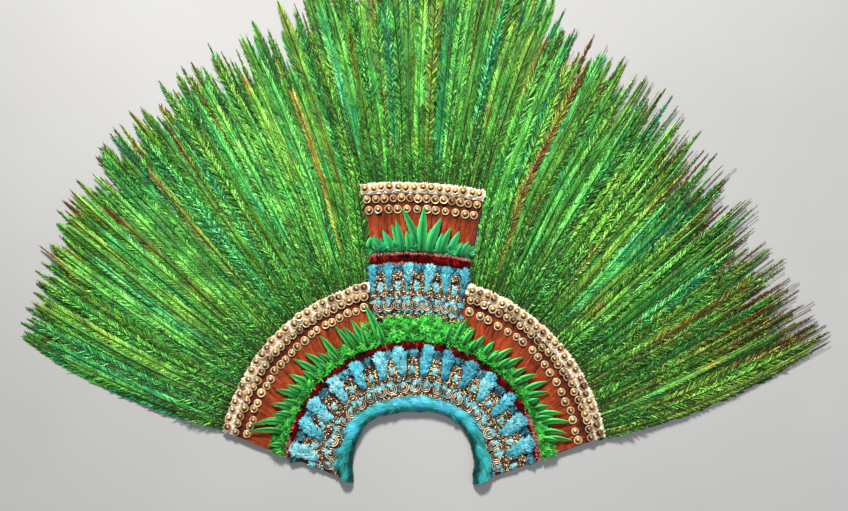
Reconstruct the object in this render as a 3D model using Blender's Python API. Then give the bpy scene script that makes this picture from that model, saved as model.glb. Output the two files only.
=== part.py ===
"""A fan-shaped feather headdress, lying on its back: +Z is its worn front, +Y points to its crest.

A stiff ground cloth carries a semicircular arch of feather bands round the head notch, with a flared
column above it. Long plumes fan out from behind the bands. Metres, +Z up, one object for each piece.
"""

import math
import random

import bmesh
import bpy
from mathutils import Vector

# Driving dimensions, in metres and degrees. The arch is drawn round the middle of the head notch.
NOTCH_RADIUS = 0.133
ROLL_OUTER = 0.1585
BLUE_OUTER = 0.2577
RED_OUTER = 0.2760
BROWN_OUTER = 0.3985
RIM_RADIUS = 0.424
GAP = 0.0003
ARCH_STEPS, RIM_STEPS, COLUMN_STEPS = 24, 10, 8  # facets along each
LOWER_EDGES = {  # the straight lower edge on each side, from the notch to beyond the rim
    "left": ((-0.148, -0.018), (-0.421, 0.090)),
    "right": ((0.150, -0.022), (0.421, 0.078)),
}

# Levels above the floor.
GROUND_TOP = 0.003
ROOT_LAYER = 0.002  # thickness of each layer of plume roots
BACK_ROOT = GROUND_TOP + GAP
FRONT_ROOT = BACK_ROOT + ROOT_LAYER + GAP
BAND_FLOOR = FRONT_ROOT + ROOT_LAYER + GAP
CLOTH = 0.003  # thickness of a flat feather band
BROWN_TOP = BAND_FLOOR + CLOTH
BLUE_TOP_ARCH = 0.0085
BLUE_TOP_COLUMN = BAND_FLOOR + 0.0035

# The column: its base on the arch, its lean to the right, and its half-width at a few heights.
COLUMN_BASE = (0.007, 0.321)
COLUMN_LEAN = math.radians(2.8)
COLUMN_BOW = 0.010  # how far the middle of each row rises above its ends
COLUMN_SIDES = (  # height, half-width
    (-0.060, 0.096),
    (0.000, 0.098),
    (0.130, 0.108),
    (0.225, 0.123),
    (0.292, 0.137),
)
BLOCK_TOP = 0.1137
RED_COLUMN = (0.1140, 0.1400)
BROWN_COLUMN = (0.1403, 0.2680)
BORDER_COLUMN = (0.2683, 0.2920)

# The plume fan. Its lines start at these angles on the rim and lean inwards to the tips.
FAN_LEFT, FAN_RIGHT = 167.8, 10.0
LEAN_LEFT, LEAN_RIGHT = 6.2, 7.0
CENTRE_LEFT, CENTRE_RIGHT = 103.2, 72.8
ROOT_RADIUS = 0.280
COLUMN_RIM = 0.642  # radius at which the column's plumes come out from under it
COLUMN_HUG = 2.4  # how far the plume lines beside the column bend in along its sides
SIDE_REACH = (  # tip angle, radius of the tips
    (161.6, 0.903),
    (154.3, 0.940),
    (148.5, 0.955),
    (127.8, 1.003),
    (111.1, 1.048),
    (103.0, 1.080),
    (73.0, 1.070),
    (60.7, 1.018),
    (49.8, 0.982),
    (40.1, 0.960),
    (27.3, 0.956),
    (17.0, 0.957),
)
CENTRE_REACH = ((103.5, 1.112), (90.0, 1.150), (72.5, 1.108))

# Ornaments.
DISC_RADIUS = 0.0085
DISC_HEIGHT = 0.0048
CRESCENT_RADIUS = 0.0102
GOLD_LINE = (0.1985, 0.2045)  # the bead line between the crescents and the tongues
ARCH_TONGUES, COLUMN_TONGUES = 14, 6

COLOURS = {  # colour, roughness, metallic
    "ground_cloth": ((0.33, 0.25, 0.17), 0.9, 0.0),
    "green_plume": ((0.06, 0.36, 0.09), 0.45, 0.0),
    "green_leaf": ((0.05, 0.42, 0.12), 0.45, 0.0),
    "brown_feather": ((0.30, 0.07, 0.03), 0.6, 0.0),
    "white_tip": ((0.85, 0.74, 0.62), 0.8, 0.0),
    "red_feather": ((0.20, 0.01, 0.02), 0.7, 0.0),
    "blue_feather": ((0.10, 0.52, 0.72), 0.6, 0.0),
    "gold": ((0.80, 0.56, 0.25), 0.3, 1.0),
}


def clear_scene():
    for obj in list(bpy.data.objects):
        bpy.data.objects.remove(obj, do_unlink=True)


def material(name):
    found = bpy.data.materials.get(name)
    if found:
        return found
    made = bpy.data.materials.new(name)
    made.use_nodes = True
    shader = made.node_tree.nodes["Principled BSDF"]
    colour, roughness, metallic = COLOURS[name]
    shader.inputs["Base Color"].default_value = (*colour, 1.0)
    shader.inputs["Roughness"].default_value = roughness
    shader.inputs["Metallic"].default_value = metallic
    made.diffuse_color = (*colour, 1.0)
    return made


def add_object(name, bm, material_name):
    bmesh.ops.recalc_face_normals(bm, faces=bm.faces)
    mesh = bpy.data.meshes.new(name)
    bm.to_mesh(mesh)
    bm.free()
    mesh.materials.append(material(material_name))
    obj = bpy.data.objects.new(name, mesh)
    bpy.context.scene.collection.objects.link(obj)
    return obj


def combine(target, other, operation, self_overlap=False):
    """Applies a Boolean between two objects and removes the second."""
    modifier = target.modifiers.new("combine", "BOOLEAN")
    modifier.operation = operation
    modifier.solver = "EXACT"
    modifier.use_self = self_overlap
    modifier.object = other
    graph = bpy.context.evaluated_depsgraph_get()
    mesh = bpy.data.meshes.new_from_object(target.evaluated_get(graph))
    target.modifiers.clear()
    target.data = mesh
    bpy.data.objects.remove(other, do_unlink=True)


def between(table, at):
    """Reads a two-column table at a value of its first column, which may run either way."""
    rows = sorted(table)
    if at <= rows[0][0]:
        return rows[0][1]
    for (low, first), (high, last) in zip(rows, rows[1:]):
        if at <= high:
            return first + (last - first) * (at - low) / (high - low)
    return rows[-1][1]


def mix(first, last, share):
    return first + (last - first) * share


# Places. Each takes a distance from the notch, or a height up the column, and a share from left to right.


def polar(radius, degrees):
    return Vector((math.cos(math.radians(degrees)), math.sin(math.radians(degrees)))) * radius


def angle_of(point):
    """The polar angle, which runs on past 180 degrees below the left side and past 0 below the right."""
    return 90 - math.degrees(math.atan2(point.x, point.y))


def lower_edge_angle(radius, side):
    """The angle at which the arch's straight lower edge is this far from the notch's middle."""
    foot, end = map(Vector, LOWER_EDGES[side])
    along = end - foot
    a, b, c = along.dot(along), 2 * foot.dot(along), foot.dot(foot) - radius**2
    share = (-b + math.sqrt(b * b - 4 * a * c)) / (2 * a)
    return angle_of(foot + along * share)


def on_arch(radius, share):
    return polar(radius, mix(lower_edge_angle(radius, "left"), lower_edge_angle(radius, "right"), share))


def on_column(height, share, outside=0.0):
    across = (2 * share - 1) * (between(COLUMN_SIDES, height) + outside)
    up = height + COLUMN_BOW * (1 - (2 * share - 1) ** 2)
    sine, cosine = math.sin(COLUMN_LEAN), math.cos(COLUMN_LEAN)
    return Vector(COLUMN_BASE) + Vector((across * cosine + up * sine, up * cosine - across * sine))


def narrow_column(height, share):
    return on_column(height, share, outside=-0.010)


def wide_column(height, share):
    return on_column(height, share, outside=2 * GAP)


def column_side_angle(radius, share):
    """The angle at which the column's left (0) or right (1) side crosses this radius."""
    height = radius - COLUMN_BASE[1]
    for _ in range(6):
        point = on_column(height, share, outside=0.001)
        height += radius - point.length
    return angle_of(point)


def on_left_rim(radius, share):
    return polar(radius, mix(lower_edge_angle(radius, "left"), column_side_angle(radius, 0), share))


def on_right_rim(radius, share):
    return polar(radius, mix(column_side_angle(radius, 1), lower_edge_angle(radius, "right"), share))


def fan_lean(share):
    """How far a plume line turns towards the middle between the rim and its tip."""
    return (LEAN_LEFT if share < 0.5 else LEAN_RIGHT) * (2 * share - 1) ** 3


def fan_share(degrees):
    return (FAN_LEFT - degrees) / (FAN_LEFT - FAN_RIGHT)


def column_hug(radius, share, reach):
    """How far a plume line turns to follow the column's side: most at its top, and nothing at the tip."""
    left, right = fan_share(CENTRE_LEFT), fan_share(CENTRE_RIGHT)
    table = ((left - 0.12, 0.0), (left, -COLUMN_HUG), (right, COLUMN_HUG), (right + 0.12, 0.0))
    if radius < COLUMN_RIM:
        grown = (max(0.0, radius - RIM_RADIUS) / (COLUMN_RIM - RIM_RADIUS)) ** 0.6
    else:
        grown = (reach - radius) / (reach - COLUMN_RIM)
    return between(table, share) * grown


def on_fan(radius, share, reach):
    """A point of the plume line that starts at this share of the rim and ends at reach."""
    travelled = max(0.0, (radius - RIM_RADIUS) / (reach - RIM_RADIUS))
    degrees = mix(FAN_LEFT, FAN_RIGHT, share) + fan_lean(share) * travelled
    return polar(radius, degrees + column_hug(radius, share, reach))


# Shapes.


def swept(name, place, profile, steps, material_name):
    """Sweeps a closed profile of (distance, level) points from the left end of a place to its right end."""
    bm = bmesh.new()
    rings = []
    for step in range(steps + 1):
        points = [(*place(distance, step / steps), level) for distance, level in profile]
        rings.append([bm.verts.new(point) for point in points])
    for first, last in zip(rings, rings[1:]):
        for i in range(len(profile)):
            j = (i + 1) % len(profile)
            bm.faces.new((first[i], first[j], last[j], last[i]))
    bm.faces.new(rings[0])
    bm.faces.new(rings[-1])
    return add_object(name, bm, material_name)


def arch_band(name, profile, material_name):
    return swept(name, on_arch, profile, ARCH_STEPS, material_name)


def column_band(name, profile, material_name):
    return swept(name, on_column, profile, COLUMN_STEPS, material_name)


def slab(low, high, floor, top):
    return ((low, floor), (high, floor), (high, top), (low, top))


def chamfered(low, high, floor, top, cut=0.003):
    side = top - cut
    return ((low, floor), (high, floor), (high, side), (high - cut, top), (low + cut, top), (low, side))


def round_top(low, high, floor, top, sides=4):
    """A profile with a flat underside and a domed back."""
    middle, half = (low + high) / 2, (high - low) / 2
    arc = [math.pi * i / sides for i in range(1, sides)]
    shoulder = mix(floor, top, 0.45)
    back = [(middle + half * 0.92 * math.cos(t), mix(shoulder, top, math.sin(t))) for t in arc]
    return ((low, floor), (high, floor), (high, shoulder), *back, (low, shoulder))


def frame_at(place, distance, share):
    """The point there, with unit vectors to the right and outwards."""
    point = place(distance, share)
    outwards = (place(distance + 0.01, share) - point).normalized()
    return point, Vector((outwards.y, -outwards.x)), outwards


def add_hull(bm, points):
    verts = [bm.verts.new(point) for point in points]
    made = bmesh.ops.convex_hull(bm, input=verts)
    unused = {item for item in made["geom_interior"] if isinstance(item, bmesh.types.BMVert)}
    bmesh.ops.delete(bm, geom=list(unused), context="VERTS")


def add_button(bm, centre, level, sides=6):
    """A low domed disc with few sides, for the discs that are one piece with their band."""
    ring = [polar(DISC_RADIUS, 360 * i / sides) for i in range(sides)]
    points = [(centre.x + point.x, centre.y + point.y, level - 0.0005) for point in ring]
    points.append((centre.x, centre.y, level + DISC_HEIGHT))
    add_hull(bm, points)


def fuse_buttons(target, rows, level):
    """Joins rows of discs to a band. Each row is (place, distance, first share, last share, how many)."""
    bm = bmesh.new()
    for place, distance, first, last, count in rows:
        for i in range(count):
            add_button(bm, place(distance, mix(first, last, i / (count - 1))), level)
    combine(target, add_object("buttons", bm, "gold"), "UNION")


def make_disc(name, centre, floor, sides=7):
    """A gold disc with a flat rim round a raised dome."""
    profile = ((1.00, 0.00), (0.62, 0.40))  # share of the radius, share of the height
    bm = bmesh.new()
    rings = []
    for across, up in profile:
        ring = []
        for i in range(sides):
            turn = 2 * math.pi * i / sides
            offset = Vector((math.cos(turn), math.sin(turn))) * DISC_RADIUS * across
            ring.append(bm.verts.new((centre.x + offset.x, centre.y + offset.y, floor + DISC_HEIGHT * up)))
        rings.append(ring)
    for low, high in zip(rings, rings[1:]):
        for i in range(sides):
            j = (i + 1) % sides
            bm.faces.new((low[i], low[j], high[j], high[i]))
    peak = bm.verts.new((centre.x, centre.y, floor + DISC_HEIGHT))
    for i in range(sides):
        bm.faces.new((rings[-1][i], rings[-1][(i + 1) % sides], peak))
    bm.faces.new(rings[0])
    return add_object(name, bm, "gold")


def add_bar(bm, path, half_widths, floor, top):
    """A bar with a ridge along its back, laid along a path of points."""
    rings = []
    for i, point in enumerate(path):
        along = (path[min(i + 1, len(path) - 1)] - path[max(i - 1, 0)]).normalized()
        side = Vector((-along.y, along.x)) * half_widths[i]
        corners = ((*(point + side), floor), (*(point - side), floor), (*point, top))
        rings.append([bm.verts.new(corner) for corner in corners])
    for first, last in zip(rings, rings[1:]):
        for j in range(3):
            k = (j + 1) % 3
            bm.faces.new((first[j], first[k], last[k], last[j]))
    bm.faces.new(rings[0])
    bm.faces.new(rings[-1])


def add_crescent(bm, place, distance, share, floor, top):
    """A half-moon, open outwards, thickest in the middle."""
    centre, right, outwards = frame_at(place, distance, share)
    path = []
    for turn in (35, -20, -90, -160, -215):
        step = polar(CRESCENT_RADIUS - 0.0022, turn)
        path.append(centre + right * step.x + outwards * step.y)
    add_bar(bm, path, (0.0012, 0.0024, 0.0036, 0.0024, 0.0012), floor, top)


def add_leaf(bm, place, start, tip, share, half_width, floor, top, lean=0.0):
    """A short pointed feather with a raised midrib, rooted in the garland, whose tip bends by lean."""
    root, right, outwards = frame_at(place, start, share)
    length = tip - start
    belly = root + outwards * length * 0.45 + right * length * lean * 0.25
    end = root + outwards * length + right * length * lean
    lift = mix(floor, top, 0.45)
    points = [
        (*(root - right * half_width * 0.7), floor),
        (*(root + right * half_width * 0.7), floor),
        (*(belly - right * half_width), floor + 0.001),
        (*(belly + right * half_width), floor + 0.001),
        (*root, top),
        (*belly, top),
        (*end, lift),
    ]
    add_hull(bm, points)


def add_tongue(bm, place, start, tip, share, half_width, floor, top):
    """A plump tuft of blue feathers, wide and high at its outer end."""
    root, right, outwards = frame_at(place, start, share)
    length = tip - start
    outline = (  # share of the length, share of the half-width
        (0.0, 0.55),
        (0.55, 0.85),
        (0.88, 1.0),
        (1.0, 0.55),
    )
    crown = ((0.12, 0.3), (0.85, 0.6))
    points = []
    for level, rows in ((floor, outline), (top, crown)):
        for along, wide in rows:
            middle = root + outwards * length * along
            aside = right * half_width * wide
            points += [(*(middle - aside), level), (*(middle + aside), level)]
    add_hull(bm, points)


def add_frame(bm, place, start, end, share, half_width, floor, top):
    """A gold arch, open inwards, that frames a small patch of blue between two tongues."""
    root, right, outwards = frame_at(place, start, share)
    height = end - start
    outline = ((-1.0, 0.0), (-0.9, 0.85), (0.0, 1.0), (0.9, 0.85), (1.0, 0.0))
    path = [root + right * half_width * across + outwards * height * up for across, up in outline]
    add_bar(bm, path, (0.0026,) * len(path), floor, top)


# The plume fan.


def plume_layer(name, first, last, count, reach_table, rim, levels, length_share, seed):
    """One closed sheet of overlapping plumes, fused side by side and split into pointed tips.

    levels holds (root floor, root top, floor beyond the rim, valley rise, ridge rise).
    """
    rng = random.Random(seed)
    root_floor, root_top, outer_floor, valley, ridge = levels
    reaches = []
    for i in range(count):
        share = mix(first, last, (i + 0.5) / count)
        tip_angle = mix(FAN_LEFT, FAN_RIGHT, share) + fan_lean(share)
        full = between(reach_table, tip_angle)
        shorter = rng.uniform(0.0, 0.03) + (0.025 if i % 3 == 1 else 0.0)
        reaches.append(rim + (full - rim) * length_share * (1 - shorter))
    bm = bmesh.new()
    stations = [  # radius, floor, valley top, ridge top
        (ROOT_RADIUS, root_floor, root_top, root_top),
        (rim, root_floor, root_top, root_top),
        (rim + 0.050, outer_floor, outer_floor + valley, outer_floor + ridge),
    ]
    if rim < COLUMN_RIM:
        stations.append((COLUMN_RIM, outer_floor, outer_floor + valley, outer_floor + ridge))
    split_share = 0.85

    def line(share, reach):
        """Floor, valley and ridge points down a plume line as far as where the tips part."""
        split = rim + (reach - rim) * split_share
        rows = [*stations, (split, outer_floor, outer_floor + valley * 0.8, outer_floor + ridge * 0.8)]
        return [(on_fan(radius, share, reach), low, mid, high) for radius, low, mid, high in rows]

    edges = []
    for i in range(count + 1):
        near = [reaches[j] for j in (i - 1, i) if 0 <= j < count]
        rows = line(mix(first, last, i / count), min(near))
        edges.append([(bm.verts.new((*p, low)), bm.verts.new((*p, mid))) for p, low, mid, _ in rows])
    for i, reach in enumerate(reaches):
        share = mix(first, last, (i + 0.5) / count)
        left, right = edges[i], edges[i + 1]
        crest = [bm.verts.new((*p, high)) for p, _, _, high in line(share, reach)]
        for j in range(len(crest) - 1):
            bm.faces.new((left[j][1], crest[j], crest[j + 1], left[j + 1][1]))
            bm.faces.new((crest[j], right[j][1], right[j + 1][1], crest[j + 1]))
            bm.faces.new((left[j][0], left[j + 1][0], right[j + 1][0], right[j][0]))
        bm.faces.new((left[0][1], left[0][0], right[0][0], right[0][1], crest[0]))
        half_pitch = (last - first) / count / 2
        add_tip(bm, left[-1], right[-1], crest[-1], share, half_pitch, reach, rim, outer_floor)
    for side, flip in ((edges[0], False), (edges[-1], True)):
        for (low, high), (next_low, next_high) in zip(side, side[1:]):
            loop = (low, next_low, next_high, high)
            bm.faces.new(loop[::-1] if flip else loop)
    return add_object(name, bm, "green_plume")


def add_tip(bm, left, right, crest, share, half_pitch, reach, rim, floor):
    """The free end of one plume: two sharp edges that meet at the point."""
    shoulder = rim + (reach - rim) * 0.93
    sides = [on_fan(shoulder, share + half_pitch * sign, reach) for sign in (-0.74, 0.74)]
    edge_left, edge_right = (bm.verts.new((*point, floor + 0.0006)) for point in sides)
    middle = bm.verts.new((*on_fan(shoulder, share, reach), floor + 0.0028))
    point = bm.verts.new((*on_fan(reach, share, reach), floor + 0.0008))
    bm.faces.new((left[1], crest, middle, edge_left))
    bm.faces.new((crest, right[1], edge_right, middle))
    bm.faces.new((edge_left, middle, point))
    bm.faces.new((middle, edge_right, point))
    bm.faces.new((left[0], left[1], edge_left))
    bm.faces.new((right[1], right[0], edge_right))
    bm.faces.new((left[0], edge_left, edge_right, right[0]))
    bm.faces.new((edge_left, point, edge_right))


def make_plumes():
    """Two layers in each of the three parts of the fan, the shorter one lying on the longer."""
    seam = 0.0008
    left, right = fan_share(CENTRE_LEFT), fan_share(CENTRE_RIGHT)
    parts = (  # name, first share, last share, plumes behind, plumes in front, reach, rim
        ("left", 0.0, left - seam, 22, 11, SIDE_REACH, RIM_RADIUS),
        ("centre", left + seam, right - seam, 12, 7, CENTRE_REACH, COLUMN_RIM),
        ("right", right + seam, 1.0, 21, 11, SIDE_REACH, RIM_RADIUS),
    )
    back = (BACK_ROOT, BACK_ROOT + ROOT_LAYER, 0.0, 0.0030, 0.0056)
    front = (FRONT_ROOT, FRONT_ROOT + ROOT_LAYER, 0.0060, 0.0035, 0.0085)
    for seed, (side, first, last, behind, before, reach, rim) in enumerate(parts):
        plume_layer(f"plumes_{side}_back", first, last, behind, reach, rim, back, 1.0, seed)
        plume_layer(f"plumes_{side}_front", first, last, before, reach, rim, front, 0.80, seed + 10)


# The bands of the arch and of the column.


def make_ground_cloth():
    profile = slab(ROLL_OUTER + GAP, RIM_RADIUS - 0.006, 0, GROUND_TOP)
    cloth = arch_band("ground_cloth", profile, "ground_cloth")
    profile = slab(-0.050, 0.286, 0, GROUND_TOP)
    combine(cloth, swept("column", narrow_column, profile, COLUMN_STEPS, "ground_cloth"), "UNION")


def make_brown_bands():
    """The band on the arch is open where the column crosses it, and carries two rows of discs each side."""
    profile = slab(RED_OUTER + GAP, BROWN_OUTER, BAND_FLOOR, BROWN_TOP)
    arch = arch_band("brown_band_arch", profile, "brown_feather")
    profile = slab(-0.004, 0.130, 0, 0.030)
    combine(arch, swept("notch", wide_column, profile, COLUMN_STEPS, "brown_feather"), "DIFFERENCE")
    rows = (
        (on_left_rim, 0.3890, 0.020, 0.975, 25),
        (on_left_rim, 0.3640, 0.030, 0.970, 22),
        (on_right_rim, 0.3890, 0.025, 0.980, 25),
        (on_right_rim, 0.3640, 0.035, 0.970, 18),
    )
    fuse_buttons(arch, rows, BROWN_TOP)
    column_band("brown_band_column", slab(*BROWN_COLUMN, BAND_FLOOR, BROWN_TOP), "brown_feather")


def make_column_discs():
    """The two lower rows of discs on the column, each disc a piece of its own."""
    rows = (("upper", 0.2590, 14), ("lower", 0.2380, 12))
    for row, height, count in rows:
        for i in range(count):
            centre = on_column(height, mix(0.045, 0.955, i / (count - 1)))
            make_disc(f"disc_{row}_{i + 1:02d}", centre, BROWN_TOP + GAP)


def make_white_borders():
    """The white feather tips along the rim, with the outermost row of discs on them."""
    top = BAND_FLOOR + 0.006
    profile = chamfered(BROWN_OUTER + 0.0012, RIM_RADIUS + 0.001, BAND_FLOOR, top)
    middle = (BROWN_OUTER + RIM_RADIUS) / 2
    for side, place, count in (("left", on_left_rim, 24), ("right", on_right_rim, 25)):
        border = swept(f"white_border_{side}", place, profile, RIM_STEPS, "white_tip")
        fuse_buttons(border, ((place, middle, 0.025, 0.975, count),), top)
    low, high = BORDER_COLUMN
    border = column_band("white_border_column", chamfered(low, high, BAND_FLOOR, top), "white_tip")
    fuse_buttons(border, ((on_column, (low + high) / 2, 0.04, 0.96, 15),), top)


def make_green_garlands():
    """Fluffy rows with pointed leaves. The arch's leaves bend towards its ends, away from the column."""
    floor = BROWN_TOP + GAP
    arch = arch_band("green_garland_arch", round_top(RED_OUTER + 0.002, 0.311, floor, 0.022), "green_leaf")
    bm = bmesh.new()
    rng = random.Random(3)
    count = 33
    for i in range(count):
        share = mix(0.02, 0.98, i / (count - 1))
        under_column = abs(share - 0.5) < 0.13
        tip = 0.318 if under_column else 0.340 + rng.uniform(-0.008, 0.016)
        add_leaf(bm, on_arch, 0.298, tip, share, 0.0068, floor + GAP, 0.0190, lean=(share - 0.5) * 0.7)
    combine(arch, add_object("leaves", bm, "green_leaf"), "UNION", self_overlap=True)
    low = BROWN_COLUMN[0] + 0.001
    column = column_band("green_garland_column", round_top(low, 0.164, floor, 0.020), "green_leaf")
    bm = bmesh.new()
    tall = {4: 0.222, 6: 0.229, 8: 0.212}
    for i in range(13):
        share = mix(0.05, 0.95, i / 12)
        tip = tall.get(i, 0.186 + 0.007 * (i % 3))
        add_leaf(bm, on_column, 0.158, tip, share, 0.0075, floor + GAP, 0.0180)
    combine(column, add_object("leaves", bm, "green_leaf"), "UNION", self_overlap=True)


def make_red_bands():
    profile = round_top(BLUE_OUTER + GAP, RED_OUTER, GROUND_TOP + GAP, 0.0165)
    arch_band("red_band_arch", profile, "red_feather")
    column_band("red_band_column", round_top(*RED_COLUMN, BAND_FLOOR, 0.0185), "red_feather")


def make_blue_bands():
    """The blue bands with their tongues, which leave room for the gold work between them."""
    top = BLUE_TOP_ARCH
    profile = slab(ROLL_OUTER + GAP, BLUE_OUTER, GROUND_TOP + GAP, top)
    arch = arch_band("blue_band_arch", profile, "blue_feather")
    bm = bmesh.new()
    for share in tongue_shares(ARCH_TONGUES):
        add_tongue(bm, on_arch, 0.208, 0.2565, share, 0.0095, top - 0.001, 0.0205)
    combine(arch, add_object("tongues", bm, "blue_feather"), "UNION")
    top = BLUE_TOP_COLUMN
    block = column_band("blue_block_column", slab(0.0, BLOCK_TOP, BAND_FLOOR, top), "blue_feather")
    bm = bmesh.new()
    for share in tongue_shares(COLUMN_TONGUES):
        add_tongue(bm, on_column, 0.062, 0.113, share, 0.0075, top - 0.001, 0.0195)
    combine(block, add_object("tongues", bm, "blue_feather"), "UNION")


def tongue_shares(count):
    margin = 0.055 if count == ARCH_TONGUES else 0.10
    return [mix(margin, 1 - margin, i / (count - 1)) for i in range(count)]


def frame_shares(count):
    shares = tongue_shares(count)
    return [(first + last) / 2 for first, last in zip(shares, shares[1:])]


def make_gold_work():
    """The bead lines with their frames and crescents, on the arch and on the column."""
    floor, top = BLUE_TOP_ARCH + GAP, BLUE_TOP_ARCH + 0.0035
    raised = floor + 0.0004
    line = arch_band("gold_work_arch", slab(*GOLD_LINE, floor, top), "gold")
    bm = bmesh.new()
    for share in frame_shares(ARCH_TONGUES):
        add_frame(bm, on_arch, GOLD_LINE[1] - 0.001, 0.237, share, 0.0070, raised, top + 0.001)
    for i in range(23):
        add_crescent(bm, on_arch, GOLD_LINE[0] - 0.0045, mix(0.03, 0.97, i / 22), raised, top + 0.001)
    combine(line, add_object("ornaments", bm, "gold"), "UNION")
    arch_band("gold_line_arch", slab(0.1600, 0.1650, floor, top), "gold")
    floor, top = BLUE_TOP_COLUMN + GAP, BLUE_TOP_COLUMN + 0.0035
    raised = floor + 0.0004
    line = column_band("gold_work_column", slab(0.0475, 0.0545, floor, top), "gold")
    bm = bmesh.new()
    for share in frame_shares(COLUMN_TONGUES):
        add_frame(bm, on_column, 0.0535, 0.095, share, 0.0075, raised, top + 0.001)
    combine(line, add_object("frames", bm, "gold"), "UNION")
    column_band("gold_line_column", slab(0.001, 0.008, floor, top), "gold")
    for i in range(9):
        bm = bmesh.new()
        add_crescent(bm, on_column, 0.0300, mix(0.09, 0.91, i / 8), floor, top + 0.001)
        add_object(f"crescent_column_{i + 1}", bm, "gold")


def make_notch_roll():
    """The fat roll of blue feathers round the head notch."""
    arch_band("blue_notch_roll", round_top(NOTCH_RADIUS, ROLL_OUTER, 0.0, 0.022, sides=6), "blue_feather")


def centre_on_floor():
    """Moves everything so that the origin is the middle of the outline, on the floor."""
    bpy.context.view_layer.update()
    objects = list(bpy.context.scene.collection.objects)
    corners = [obj.matrix_world @ Vector(corner) for obj in objects for corner in obj.bound_box]
    low_x, low_y = min(c.x for c in corners), min(c.y for c in corners)
    high_x, high_y = max(c.x for c in corners), max(c.y for c in corners)
    for obj in objects:
        obj.location.x -= (low_x + high_x) / 2
        obj.location.y -= (low_y + high_y) / 2


def main():
    clear_scene()
    make_ground_cloth()
    make_plumes()
    make_brown_bands()
    make_white_borders()
    make_column_discs()
    make_green_garlands()
    make_red_bands()
    make_blue_bands()
    make_gold_work()
    make_notch_roll()
    centre_on_floor()


main()
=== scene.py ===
"""The looks of a long-plumed feather headdress that lies on its back on a pale floor.

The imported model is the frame. Each of its soft or plain solids is replaced here by feathers, tufts, beads
and discs that are modelled one by one, in metres, in the same places. The worn front faces up.
"""

import math

import bpy
import numpy as np
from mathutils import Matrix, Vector


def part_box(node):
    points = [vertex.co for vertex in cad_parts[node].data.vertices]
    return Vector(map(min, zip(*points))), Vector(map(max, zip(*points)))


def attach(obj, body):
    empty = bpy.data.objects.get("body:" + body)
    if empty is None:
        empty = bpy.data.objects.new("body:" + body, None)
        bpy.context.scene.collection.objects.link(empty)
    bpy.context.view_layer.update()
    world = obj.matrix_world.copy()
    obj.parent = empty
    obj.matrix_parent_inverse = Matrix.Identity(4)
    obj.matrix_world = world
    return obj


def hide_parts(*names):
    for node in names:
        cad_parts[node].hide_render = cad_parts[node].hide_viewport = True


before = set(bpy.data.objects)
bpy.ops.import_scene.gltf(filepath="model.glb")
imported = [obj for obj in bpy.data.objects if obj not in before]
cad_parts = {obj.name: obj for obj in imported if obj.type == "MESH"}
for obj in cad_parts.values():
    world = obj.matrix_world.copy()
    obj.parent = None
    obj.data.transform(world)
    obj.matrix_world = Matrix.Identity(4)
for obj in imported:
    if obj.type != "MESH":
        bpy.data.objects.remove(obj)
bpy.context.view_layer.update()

# Driving dimensions of the frame, in metres and degrees, round the middle of the head notch.
NOTCH_RADIUS = 0.133
ROLL_OUTER = 0.1585
BAND_START = ROLL_OUTER + 0.0005
BLUE_OUTER = 0.2577
RED_OUTER = 0.276
BROWN_OUTER = 0.3985
RIM_RADIUS = 0.424
LEFT_EDGE = ((-0.148, -0.018), (-0.421, 0.09))
RIGHT_EDGE = ((0.15, -0.022), (0.421, 0.078))
COLUMN_BASE = (0.007, 0.321)
COLUMN_LEAN = math.radians(2.8)
COLUMN_BOW = 0.01
COLUMN_SIDES = ((-0.06, 0.0, 0.13, 0.225, 0.292), (0.096, 0.098, 0.108, 0.123, 0.137))
BLOCK_TOP = 0.1137
BROWN_COLUMN = (0.1403, 0.268)
BORDER_COLUMN = (0.2683, 0.292)
FAN_LEFT, FAN_RIGHT = 167.8, 10.0
LEAN_LEFT, LEAN_RIGHT = 6.2, 7.0
CENTRE_LEFT, CENTRE_RIGHT = 103.2, 72.8
COLUMN_RIM = 0.642
COLUMN_HUG = 2.4
SIDE_REACH = (
    (17.0, 27.3, 40.1, 49.8, 60.7, 73.0, 103.0, 111.1, 127.8, 148.5, 154.3, 161.6),
    (0.957, 0.956, 0.96, 0.982, 1.018, 1.07, 1.08, 1.048, 1.003, 0.955, 0.94, 0.903),
)
CENTRE_REACH = ((72.5, 90.0, 103.5), (1.108, 1.15, 1.112))
ARCH_FLOOR = 0.0035
BAND_FLOOR = 0.0079
BROWN_TOP = 0.0109
DISC_RADIUS, DISC_HEIGHT = 0.0085, 0.0062

roll_low, roll_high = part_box("blue_notch_roll")
NOTCH_MIDDLE = np.array([(roll_low.x + roll_high.x) / 2, roll_high.y - ROLL_OUTER])


# Numbers and vectors. Vectors run along the last axis of an array.


def mix(first, last, share):
    return first + (last - first) * share


def smooth_step(value, low=0.0, high=1.0):
    share = np.clip((value - low) / (high - low), 0, 1)
    return share * share * (3 - 2 * share)


def stacked(*values):
    """Values side by side along a new last axis."""
    return np.stack(np.broadcast_arrays(*values), -1)


def unit(vectors):
    return vectors / np.maximum(np.linalg.norm(vectors, axis=-1, keepdims=True), 1e-12)


def rightward(way):
    """The flat direction to the right of each way."""
    return stacked(way[..., 1], -way[..., 0])


def turned(first, second, angle):
    """The first direction, turned towards the second by an angle in radians."""
    return first * np.cos(angle)[..., None] + second * np.sin(angle)[..., None]


def raised(flat, level):
    """Flat points or directions with a third coordinate."""
    return np.concatenate([flat, np.broadcast_to(np.asarray(level)[..., None], (*flat.shape[:-1], 1))], -1)


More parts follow.
